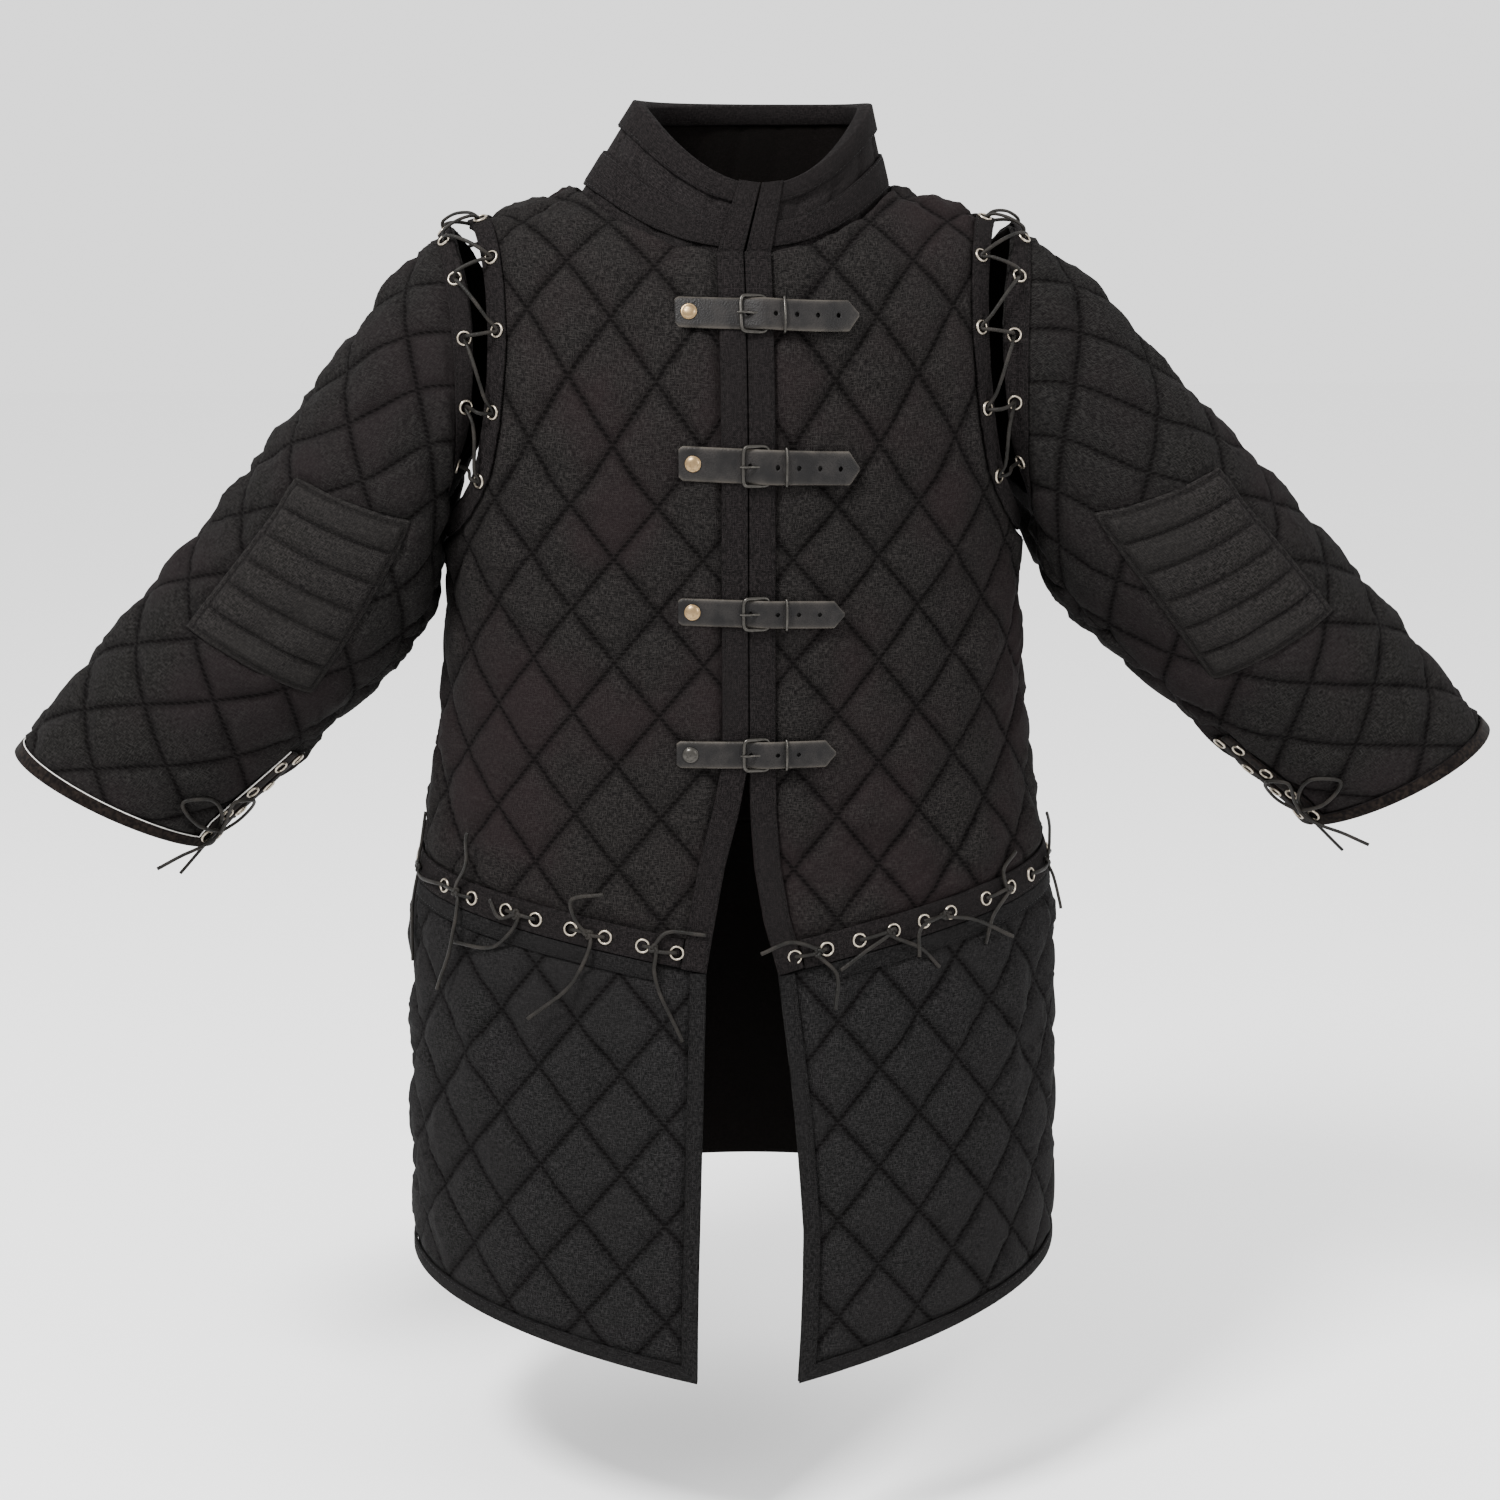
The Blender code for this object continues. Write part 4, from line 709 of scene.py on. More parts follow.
def neck_line(half, count=9):
    """Quarter of an ellipse from the shoulder seam to the centre line."""
    deep = NECK_FRONT if half is FRONT else NECK_BACK
    turn = np.linspace(0, math.pi / 2, count)
    high = shoulder_line(NECK_SIDE, half) + HALF_GAP
    return np.stack([NECK_SIDE * np.cos(turn), high + (deep - high) * np.sin(turn)], axis=1)


def armhole_line(half, count=13):
    """From the shoulder's tip to the side seam, hollowed in its upper part."""
    turn = np.linspace(0, math.pi / 2, count)
    high = shoulder_line(SHOULDER_TIP, half) + HALF_GAP
    low = t_of_drop(UNDERARM_DROP, half)
    reach = side_seam(UNDERARM_DROP, half) - HALF_GAP - SHOULDER_TIP
    s = SHOULDER_TIP + reach * (1 - np.cos(turn)) ** 1.2 - half["hollow"] * np.sin(2 * turn)
    return np.stack([s, high + (low - high) * np.sin(turn)], axis=1)


def shoulder_seam(half):
    """From the shoulder's tip to the neck."""
    s = np.linspace(SHOULDER_TIP, NECK_SIDE, 4)
    return np.stack([s, shoulder_line(s, half) + HALF_GAP], axis=1)


def seam_line(half, top, bottom):
    """The side seam from one drop to another."""
    drop = np.linspace(top, bottom, max(2, round((bottom - top) / SEAM_STEP)))
    return np.stack([side_seam(drop, half) - HALF_GAP, t_of_drop(drop, half)], axis=1)


def level_line(half, start, drop_rule, drop_near):
    """A line round the body, from s at the centre to the side seam."""
    seam = side_seam(drop_near, half)
    drop = drop_rule(seam, half, seam)
    end = side_seam(drop, half) - HALF_GAP
    s = np.linspace(start, end, max(2, math.ceil((end - start) / STRIP_STEP)) + 1)
    return np.stack([s, t_of_drop(drop_rule(s, half, seam), half)], axis=1)


def edge_line(side, top, bottom):
    """The front edge of one front, from one t to another."""
    t = np.linspace(top, bottom, math.ceil((bottom - top) / STRIP_STEP) + 1)
    drop = np.where(t < FRONT["turn"], 0, FRONT["fall"] + t - FRONT["turn"])
    return np.stack([front_edge(drop, side), t], axis=1)


def mirrored(points, side):
    """Flat points on the wearer's left, or their mirror image on the right."""
    return np.asarray(points) * (side, 1)


def read_at(line, places, at):
    """The line at some places, straight between its points, whose own places are known."""
    return np.stack([np.interp(at, places, column) for column in line.T], axis=1)


def even(line, count):
    """The line read at equal steps of its length."""
    along = run_of(line)
    return read_at(line, along, np.linspace(0, along[-1], count))


def length_of(line):
    """The whole length of a line."""
    return run_of(line)[-1]


# %% [markdown]
# ## Quilted relief
#
# A quilted diamond is a cushion held down on four sides. Its height here is the product of two
# curves, one for each family of lines, that rise quickly from the thread and flatten on top. The
# thread gathers the canvas, so small puckers stand square to each line and die out within a
# centimetre. At the panel's edge the wall thins to the seam, and under a band it is pressed flat.

# %% Relief functions
GRID_STEP = 3.7
LINE_HIGH, PUFF_HIGH = 4.0, 9.2
PRESSED_HIGH, RIM_DROP, RIM_REACH = 4.6, 1.6, 3.0
PUCKER_EVERY, PUCKER_HIGH = 8.5, 0.55
# How far the lines wander, and how the cloth rises from them
WANDER, RISE_OVER, RISE_POWER = 2.2, 6.5, 1.3
# Slope of the creases, how long and how wide they are, and their rise
WRINKLES = [(0.15, 60, 15, 1.9), (-0.75, 52, 14, 1.7), (0.85, 55, 14, 1.7), (1.45, 48, 13, 1.4)]


def hills(s, t, scale, seed):
    """Smooth noise from 0 to 1: random heights on a grid of that scale, blended by cubics."""
    values = np.random.default_rng(seed).random((64, 64))
    column, row = s / scale + 1000, t / scale + 1000
    i, j = np.floor(column).astype(int), np.floor(row).astype(int)
    x, y = column - i, row - j
    x, y = x * x * (3 - 2 * x), y * y * (3 - 2 * y)
    near = values[i % 64, j % 64] * (1 - x) + values[(i + 1) % 64, j % 64] * x
    far = values[i % 64, (j + 1) % 64] * (1 - x) + values[(i + 1) % 64, (j + 1) % 64] * x
    return near * (1 - y) + far * y


def wrinkles(s, t, seed):
    """Washed-in creases: sharp crests where smooth noise, drawn out along a slope, crosses one
    half, faded in and out by a broader noise."""
    total = np.zeros_like(s)
    for number, (slope, long, short, rise) in enumerate(WRINKLES):
        c, d = math.cos(slope), math.sin(slope)
        run, over = (s * c + t * d) / long, (t * c - s * d) / short
        crest = (1 - np.abs(2 * hills(run, over, 1.0, seed + number) - 1)) ** 3
        total = total + rise * crest * step_up(hills(s, t, 70, seed + 7 + number), 0.3, 0.7)
    return total


def quilt_height(s, t, size, seed):
    """Height of the quilted outer face over the plain inner one."""
    width, tall = size
    spacing = width * tall / math.hypot(width, tall)
    wander = WANDER * (hills(s, t, 60, seed) - 0.5)
    product = np.ones_like(s)
    pucker = np.zeros_like(s)
    for lean in (1, -1):
        share = (s + wander) / width + lean * t / tall
        away = np.abs(share - np.round(share)) * spacing
        product = product * (1 - np.exp(-(away / RISE_OVER) ** RISE_POWER))
        along = s / width - lean * t / tall
        phase = along * spacing * 2 / PUCKER_EVERY * math.pi + 6 * hills(s, t, 26, seed + 3)
        pucker = pucker + np.sin(phase) * np.exp(-((away - 4.5) / 4.5) ** 2)
    product = product / (1 - math.exp(-(spacing / 2 / RISE_OVER) ** RISE_POWER)) ** 2
    full = PUFF_HIGH - LINE_HIGH
    soft = 0.75 + 0.5 * hills(s, t, 45, seed + 1)
    strength = 0.25 + 0.75 * hills(s, t, 38, seed + 2)
    high = LINE_HIGH + full * product * np.minimum(soft, 1.08) + PUCKER_HIGH * strength * pucker
    return high + wrinkles(s, t, seed + 20) - 0.4


def distance_to(flat, line):
    """Distance of every flat point to a line of straight pieces."""
    start, run = line[:-1], np.diff(line, axis=0)
    best = np.full(flat.shape[:-1], 1e9)
    for a, d in zip(start, run):
        share = np.clip(((flat - a) @ d) / (d @ d), 0, 1)
        off = flat - a - share[..., None] * d
        best = np.minimum(best, np.hypot(off[..., 0], off[..., 1]))
    return best


def step_up(value, low, high):
    """A smooth step from 0 to 1: three squares less two cubes."""
    x = np.clip((value - low) / (high - low), 0, 1)
    return x * x * (3 - 2 * x)


def patch(top, bottom, left, right):
    """The flat grid between four lines: the mean of both rulings less the corners' own sheet."""
    columns = round(max(length_of(top), length_of(bottom)) / GRID_STEP)
    rows = round(max(length_of(left), length_of(right)) / GRID_STEP)
    u, v = np.linspace(0, 1, columns)[None, :, None], np.linspace(0, 1, rows)[:, None, None]
    top, bottom = even(top, columns)[None], even(bottom, columns)[None]
    left, right = even(left, rows)[:, None], even(right, rows)[:, None]
    ruled = (1 - v) * top + v * bottom + (1 - u) * left + u * right
    corners = (1 - v) * ((1 - u) * top[:, :1] + u * top[:, -1:])
    return ruled - corners - v * ((1 - u) * bottom[:, :1] + u * bottom[:, -1:])


def outline_of(top, bottom, left, right):
    """Four lines, each running down or to the right, joined into one closed outline."""
    return np.concatenate([top, right[1:], bottom[::-1][1:], left[::-1][1:]])


def panel(node, lines, base, size, pressed, finish, seed):
    """A quilted shell between four pattern lines, standing for its solid. Pressed holds (line,
    width) of each band laid on it. The wall thins by a bell towards the outline."""
    flat = patch(*lines)
    s, t = flat[..., 0], flat[..., 1]
    high = quilt_height(s, t, size, seed)
    for line, width in pressed:
        away = distance_to(flat, line)
        high = np.where(away < width + 8, high + (np.minimum(high, PRESSED_HIGH) - high)
                        * (1 - step_up(away, width + 0.5, width + 7)), high)
    rim = distance_to(flat, outline_of(*lines))
    high = high - RIM_DROP * np.exp(-(rim / RIM_REACH) ** 2)
    low = 0.5 * (1 - step_up(rim, 2, 9)) + 0.35 * hills(s, t, 30, seed + 5)
    points, normal = laid(s, t, base)
    outer = (points + normal * high[..., None]) / 1000
    inner = (points + normal * low[..., None]) / 1000
    made = shell(node + "_cloth", outer, inner, flat / 1000, [finish, "inside"])
    print(made.name, "grid", flat.shape[:2])
    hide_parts(node)
    return made


# %% [markdown]
# ## Bands, strips and edgings
#
# The edges are finished with folded canvas sewn on flat: a wide strip down each front, a band
# along the waist for the eyelets, narrow ones round the armholes and the skirt. A folded band is
# thickest near its folds and pulled down along its stitching, so the section is a flat loop with
# rounded edges and a groove, carried between the band's two edges. The stitches are real thread.

# %% Band makers
STITCH_LONG, STITCH_EVERY, THREAD, STITCH_INSET = 3.0, 4.4, 0.35, 2.0
STRIP_SEAMS = [STITCH_INSET, FRONT_STRIP - 2.2]
EDGE_ROUND, GROOVE_DEEP, GROOVE_WIDE, RIPPLE, RIPPLE_LONG = 1.1, 0.7, 0.9, 0.25, 5.2
POD_SIDES = 6


def between(near, far, step=3.0):
    """Two lines with the same corners, cut into equal short pieces."""
    counts = np.maximum(1, np.ceil(np.linalg.norm(np.diff(near, axis=0), axis=1) / step)).astype(int)
    at = np.concatenate([[0], np.cumsum(counts)])
    return tuple(read_at(line, at, np.arange(at[-1] + 1)) for line in (near, far))


def band_section(width, low, thick, grooves, samples=14):
    """Share across and height of a band's closed section, with rounded edges and grooves."""
    x = (1 - np.cos(np.linspace(0, math.pi, samples))) / 2
    edge = np.minimum(x, 1 - x) * width
    round_off = np.sqrt(np.clip(1 - (1 - np.minimum(edge / EDGE_ROUND, 1)) ** 2, 0, 1))
    high = low + 0.35 * thick + 0.65 * thick * round_off
    for place in grooves:
        high = high - GROOVE_DEEP * np.exp(-((x * width - place) / GROOVE_WIDE) ** 2)
    share = np.concatenate([x, [0.97, 0.5, 0.03]])
    return share, np.concatenate([high, [low, low, low]])


def sewn_band(name, near, far, base, low, thick, grooves, finish, seed=1):
    """A folded band between two lines, its section carried along with small puckers."""
    width = np.linalg.norm(far[0] - near[0])
    share, high = band_section(width, low, thick, grooves)
    one, other = between(near, far)
    along = run_of(one)
    flat = one[:, None] + (other - one)[:, None] * share[None, :, None]
    ripple = RIPPLE * np.sin(along / RIPPLE_LONG + 7 * hills(along, along * 0, 40, seed))[:, None]
    lifted = high[None] + ripple * (high > low + 0.5)[None] * np.sin(math.pi * share)[None]
    points = placed(np.concatenate([flat, lifted[..., None]], axis=2), base)
    uv = np.stack(np.broadcast_arrays(along[:, None] / 1000, share[None] * width / 1000), axis=-1)
    made = swept(name, points, uv, [finish])
    for number, place in enumerate(grooves):
        line = one + (other - one) * (place / width)
        stitch_row(f"{name}_stitches_{number + 1}", line, base, low + thick - 0.55)
    return made


def capsules(middle, along, side, up, size):
    """Points and faces of many small pods: three rings of six points, widest in the middle."""
    station, swell = np.array([-1, 0, 1.0]), np.array([0.4, 1, 0.4])
    turn = np.linspace(0, 2 * math.pi, POD_SIDES, endpoint=False)
    rings = (
        along[:, None, None] * (station * size[0])[None, :, None, None]
        + side[:, None, None] * (swell[:, None] * np.cos(turn) * size[1])[None, ..., None]
        + up[:, None, None] * (swell[:, None] * np.sin(turn) * size[2])[None, ..., None]
    )
    points = middle[:, None, None] + rings
    count = len(station) * POD_SIDES
    caps = [(5, 4, 3, 0), (3, 2, 1, 0), (12, 15, 16, 17), (12, 13, 14, 15)]
    one = np.concatenate([grid_faces(len(station), POD_SIDES, True), caps])
    faces = one[None] + (np.arange(len(middle)) * count)[:, None, None]
    return points.reshape(-1, 3), faces.reshape(-1, 4)


def stitch_row(name, line, base, high):
    """A row of thread stitches along a flat line."""
    count = max(2, round(length_of(line) / STITCH_EVERY))
    middle = even(line, count + 1)
    middle = (middle[:-1] + middle[1:]) / 2
    points, up = laid(middle[:, 0], middle[:, 1], base)
    along = unit(np.gradient(points, axis=0))
    points = points + up * high
    side = np.cross(up, along)
    pods, faces = capsules(points / 1000, along, side, up,
                           (STITCH_LONG / 2000, THREAD / 1000, THREAD / 1000))
    put_mesh(name, pods, faces.tolist(), pods[:, :2], ["thread"])


MATERIALS["thread"] = leather("waxed cotton thread", "060505", "110f0e", "110f0e", 0.0005)


def trimmed(line, half):
    """The line, with no point past the side seam or over the shoulder seam."""
    drop = np.maximum(half["fall"] + line[:, 1] - half["turn"], half["fall"])
    most = np.where(line[:, 1] > half["turn"], side_seam(drop, half) - HALF_GAP, 1e3)
    size = np.minimum(np.abs(line[:, 0]), most)
    t = np.maximum(line[:, 1], shoulder_line(size, half) + HALF_GAP)
    return np.stack([np.copysign(size, line[:, 0]), t], axis=1)


def body_band(name, line, width, half, grooves, finish="band", thick=BAND_THICK, seed=1):
    """A band on a panel of the body, from a line of its edge inwards, standing for its solid."""
    near, far = trimmed(line, half), trimmed(offset_line(line, width), half)
    made = sewn_band(name + "_cloth", near, far, body_base(half), WALL_BAND + LIFT, thick,
                     grooves, finish, seed)
    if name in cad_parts:
        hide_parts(name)
    return made


# %% [markdown]
# ## The fronts
#
# Each front is cut in one piece from the neck to the waist. Down its edge runs the wide strip
# with two rows of stitching, along its waist the eyelet band, round its armhole a narrow one.


# %% Fronts of the body
def make_front(side, word):
    """One front: its panel between four pattern lines, then what is sewn on it."""
    neck, armhole = neck_line(FRONT), armhole_line(FRONT)
    start = float(front_edge(WAIST_DROP + WAIST_DIP, side))
    waist = level_line(FRONT, start, waist_drop, WAIST_DROP)
    edge = edge_line(side, NECK_FRONT, waist[0, 1])
    edge = np.concatenate([edge[:-1], waist[:1]])
    sides = seam_line(FRONT, UNDERARM_DROP, WAIST_DROP)
    top = np.concatenate([neck[::-1], shoulder_seam(FRONT)[::-1][1:]])
    top[0] = edge[0]
    outer = np.concatenate([armhole, sides[1:]])
    lines = [mirrored(line, side) for line in (top, waist, edge, outer)]
    first = start + FRONT_STRIP + 2 * GAP
    inner = waist[waist[:, 0] > first + 2]
    first_t = np.interp(first, waist[:, 0], waist[:, 1])
    band_line = mirrored(np.concatenate([[[first, first_t]], inner]), side)
    edge, armhole = mirrored(edge, side), mirrored(armhole, side)
    pressed = [(edge, FRONT_STRIP), (band_line, WAIST_BAND), (armhole, ARMHOLE_BAND)]
    made = panel(f"front_{word}", lines, body_base(FRONT), LATTICE, pressed, "body",
                 11 + side)
    parts = [
        body_band(f"front_strip_{word}", edge, -side * FRONT_STRIP, FRONT, STRIP_SEAMS,
                  thick=STRIP_THICK, seed=21 + side),
        body_band(f"waist_band_front_{word}", band_line, -side * WAIST_BAND, FRONT,
                  [STITCH_INSET, WAIST_BAND - STITCH_INSET], seed=24 + side),
        body_band(f"armhole_band_front_{word}", armhole, side * ARMHOLE_BAND, FRONT,
                  [ARMHOLE_BAND - STITCH_INSET], seed=27 + side),
    ]


for side, word in SIDES:
    make_front(side, word)

# %% [markdown]
# ## The back
#
# The back is one piece, so its grid runs from one armhole to the other and its top edge takes in
# both shoulders and the neck.


# %% Back of the body
def make_back():
    """The back between its two sides, with its waist band and armhole bands."""
    neck, armhole = neck_line(BACK), armhole_line(BACK, 17)
    sides = seam_line(BACK, UNDERARM_DROP, WAIST_DROP)
    waist = level_line(BACK, 0.0, waist_drop, WAIST_DROP)
    half_top = np.concatenate([shoulder_seam(BACK)[:-1], neck])
    top = np.concatenate([mirrored(half_top, -1), half_top[::-1][1:]])
    whole = np.concatenate([mirrored(waist[::-1], -1), waist[1:]])
    outer = np.concatenate([armhole, sides[1:]])
    lines = top, whole, mirrored(outer, -1), outer
    pressed = [(whole, WAIST_BAND), (armhole, ARMHOLE_BAND), (mirrored(armhole, -1), ARMHOLE_BAND)]
    made = panel("back", lines, body_base(BACK), LATTICE, pressed, "body", 31)
    rows = [ARMHOLE_BAND - STITCH_INSET]
    parts = [
        body_band("waist_band_back", whole, -WAIST_BAND, BACK,
                  [STITCH_INSET, WAIST_BAND - STITCH_INSET], seed=32),
        body_band("armhole_band_back_left", armhole, ARMHOLE_BAND, BACK, rows, seed=33),
        body_band("armhole_band_back_right", mirrored(armhole, -1), -ARMHOLE_BAND, BACK, rows,
                  seed=34),
    ]


make_back()

# %% [markdown]
# ## The skirt
#
# The skirt hangs from the waist's lacing in three pieces. Its cloth is the same canvas from
# another bolt, less brown and a plainer black. A narrow band along its top takes the lacing, and
# the open front edges and the hem share one edging that turns the corner.


# %% Skirt
SKIRT_BAND, SKIRT_BAND_THICK = 13.0, 1.6


def make_skirt_front(side, word):
    """One front of the skirt, edged along its front and its hem."""
    start = float(front_edge(WAIST_DROP + WAIST_DIP, side))
    waist = level_line(FRONT, start, waist_drop, WAIST_DROP)
    waist[:, 1] += WAIST_GAP
    hem_start = float(front_edge(HEM_DROP + HEM_DIP, side))
    hem = level_line(FRONT, hem_start, hem_drop, HEM_DROP)
    edge = edge_line(side, waist[0, 1], hem[0, 1])
    edge[[0, -1]] = waist[0], hem[0]
    sides = seam_line(FRONT, WAIST_DROP + WAIST_GAP, HEM_DROP)
    sides[[0, -1]] = waist[-1], hem[-1]
    lines = [mirrored(line, side) for line in (waist, hem, edge, sides)]
    border = mirrored(np.concatenate([edge, hem[1:]]), side)
    top = lines[0][lines[0][:, 0] * side > start + HEM_BAND + 1]
    pressed = [(border, HEM_BAND), (lines[0], SKIRT_BAND)]
    made = panel(f"skirt_front_{word}", lines, body_base(FRONT), LATTICE, pressed, "skirt",
                 41 + side)
    parts = [
        body_band(f"skirt_edging_{word}", border, -side * HEM_BAND, FRONT, [HEM_BAND - STITCH_INSET],
                  "skirt_band", seed=44 + side),
        body_band(f"skirt_top_{word}", top, side * SKIRT_BAND, FRONT, [SKIRT_BAND - STITCH_INSET],
                  "skirt_band", thick=SKIRT_BAND_THICK, seed=46 + side),
    ]


def make_skirt_back():
    """The back of the skirt, in one piece with its hem edging."""
    waist = level_line(BACK, 0.0, waist_drop, WAIST_DROP)
    waist[:, 1] += WAIST_GAP
    hem = level_line(BACK, 0.0, hem_drop, HEM_DROP)
    sides = seam_line(BACK, WAIST_DROP + WAIST_GAP, HEM_DROP)
    sides[[0, -1]] = waist[-1], hem[-1]
    top, low = (np.concatenate([mirrored(line[::-1], -1), line[1:]]) for line in (waist, hem))
    lines = top, low, mirrored(sides, -1), sides
    pressed = [(low, HEM_BAND), (top, SKIRT_BAND)]
    made = panel("skirt_back", lines, body_base(BACK), LATTICE, pressed, "skirt",
                 51)
    parts = [
        body_band("skirt_hem_back", low, -HEM_BAND, BACK, [HEM_BAND - STITCH_INSET],
                  "skirt_band", seed=52),
        body_band("skirt_top_back", top, SKIRT_BAND, BACK, [SKIRT_BAND - STITCH_INSET],
                  "skirt_band", thick=SKIRT_BAND_THICK, seed=53),
    ]


MATERIALS["skirt_band"] = canvas("folded canvas band, skirt", "090909", "1f1e1e", "141313")
for side, word in SIDES:
    make_skirt_front(side, word)
make_skirt_back()

# %% [markdown]
# ## The sleeves
#
# The whole sleeve is one piece of cloth, closed by a seam under the arm that stays open for the
# last 120 mm at the cuff, where it is laced. Its head has a narrow band for the eyelets, and the
# cuff and its slit are edged with suede. On the wearer's right sleeve a white piping shows along
# the suede's inner edge, and on the left one it is black.


# %% Sleeves
HEAD_BAND = 14.0


def sleeve_edge(end):
    """The seam's edge at one end of the sleeve's round, from the head to the cuff."""
    share = np.linspace(0, 1, 14)
    slit = np.maximum(1 - (1 - share) * (SLEEVE_LENGTH - 2 * HEAD_RISE) / SLIT_LENGTH, 0)
    s = end * (sleeve_round(share) / 2 - 0.25 - (SLIT_HALF - 0.25) * slit)
    head = head_line(s)
    return np.stack([s, head + share * (SLEEVE_LENGTH - head)], axis=1)


def make_sleeve(side, word):
    """One sleeve with the band of its head, its cuff edging and the piping beside it."""
    right, left = sleeve_edge(1), sleeve_edge(-1)
    s = np.linspace(left[0, 0], right[0, 0], 25)
    head = np.stack([s, head_line(s)], axis=1)
    hem_s = np.linspace(left[-1, 0], right[-1, 0], 15)
    hem = np.stack([hem_s, np.full_like(hem_s, SLEEVE_LENGTH)], axis=1)
    slit = right[right[:, 1] > SLEEVE_LENGTH - SLIT_LENGTH]
    other = left[left[:, 1] > SLEEVE_LENGTH - SLIT_LENGTH]
    border = np.concatenate([other, hem[1:-1], slit[::-1]])
    lines = head, hem, left, right
    base = sleeve_base(side)
    middle = (PAD_MIDDLE[0] * float(sleeve_round(np.array(0.5))), PAD_MIDDLE[1])
    pressed = [(border, CUFF_BAND), (head, HEAD_BAND), pad_line(middle)]
    made = panel(f"sleeve_{word}", lines, base, SLEEVE_LATTICE, pressed, "sleeve",
                 61 + side)
    far = offset_line(border, -CUFF_BAND)
    low = WALL_BAND + 1.5 * LIFT
    edging = sewn_band(f"cuff_edging_{word}_suede", border, far, base, low, BAND_THICK, [],
                       "suede", 64 + side)
    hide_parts(f"cuff_edging_{word}")
    piping = cord_along(f"cuff_piping_{word}", far, base, low + 1.2, 0.6,
                        "piping" if side < 0 else "band")
    band = sewn_band(f"sleeve_head_{word}", head, offset_line(head, HEAD_BAND), base,
                     WALL_BAND + LIFT, 1.8, [HEAD_BAND - STITCH_INSET], "band", 67 + side)
    make_pad(word, middle, base)


def pad_line(middle):
    """A line to and fro under the elbow pad, and half the width that it presses flat."""
    across, down, reach = PAD_WIDTH / 2 - 15, PAD_LENGTH / 2 - 15, 15
    route = [(-1, -1), (-1, 1), (0, 1), (0, -1), (1, -1), (1, 1)]
    return np.array(route) * (across, down) + middle, reach


def cord_along(name, line, base, high, radius, finish):
    """A thin round cord sewn along a flat line."""
    one = between(line, line)[0]
    points, up = laid(one[:, 0], one[:, 1], base)
    return tube(name, (points + up * high) / 1000, up, radius / 1000, finish, sides=8)


def ring_rows(path, along, up, radius, turn, flatten=1.0):
    """A round section at each station: cosine sideways and sine upwards, times the radius, which
    may be one number or one for each station. The cloth's normal tells which way is up."""
    side = unit(np.cross(up, along))[:, None]
    top = flatten * np.cross(along[:, None], side)
    radius = np.broadcast_to(radius, len(path))[:, None, None]
    return path[:, None] + radius * (side * np.cos(turn)[:, None] + top * np.sin(turn)[:, None])


def tube(name, path, up, radius, finish, sides=10, slot=None, flatten=1.0):
    """A round section carried along a path, with its ends closed."""
    turn = np.linspace(0, 2 * math.pi, sides, endpoint=False)
    rings = ring_rows(path, unit(np.gradient(path, axis=0)), up, radius, turn, flatten)
    uv = np.stack(np.broadcast_arrays(run_of(path)[:, None], turn[None] / 1000), axis=-1)
    return swept(name, rings, uv, [finish])


def closed_tube(name, path, up, radius, finish, sides, slot):
    """A round section carried round a closed path."""
    turn = np.linspace(0, 2 * math.pi, sides, endpoint=False)
    along = unit(np.roll(path, -1, axis=0) - np.roll(path, 1, axis=0))
    rings = ring_rows(path, along, up, radius, turn)
    return swept(name, rings, np.zeros((*rings.shape[:2], 2)), [finish], cyclic=True)


# %% [markdown]
# ### Elbow pads
#
# A rectangle of brushed cotton, stitched in straight channels over extra batting. Each channel
# is a low vault, and the border is pressed flat by a row of stitching. The vaults are nearly a
# half ellipse across each channel, times a step that rises from the border.


# %% Elbow pads
PAD_GRID = (44, 90)
BORDER_SEAM = 4.2  # how far inside the pad's edge it is sewn down


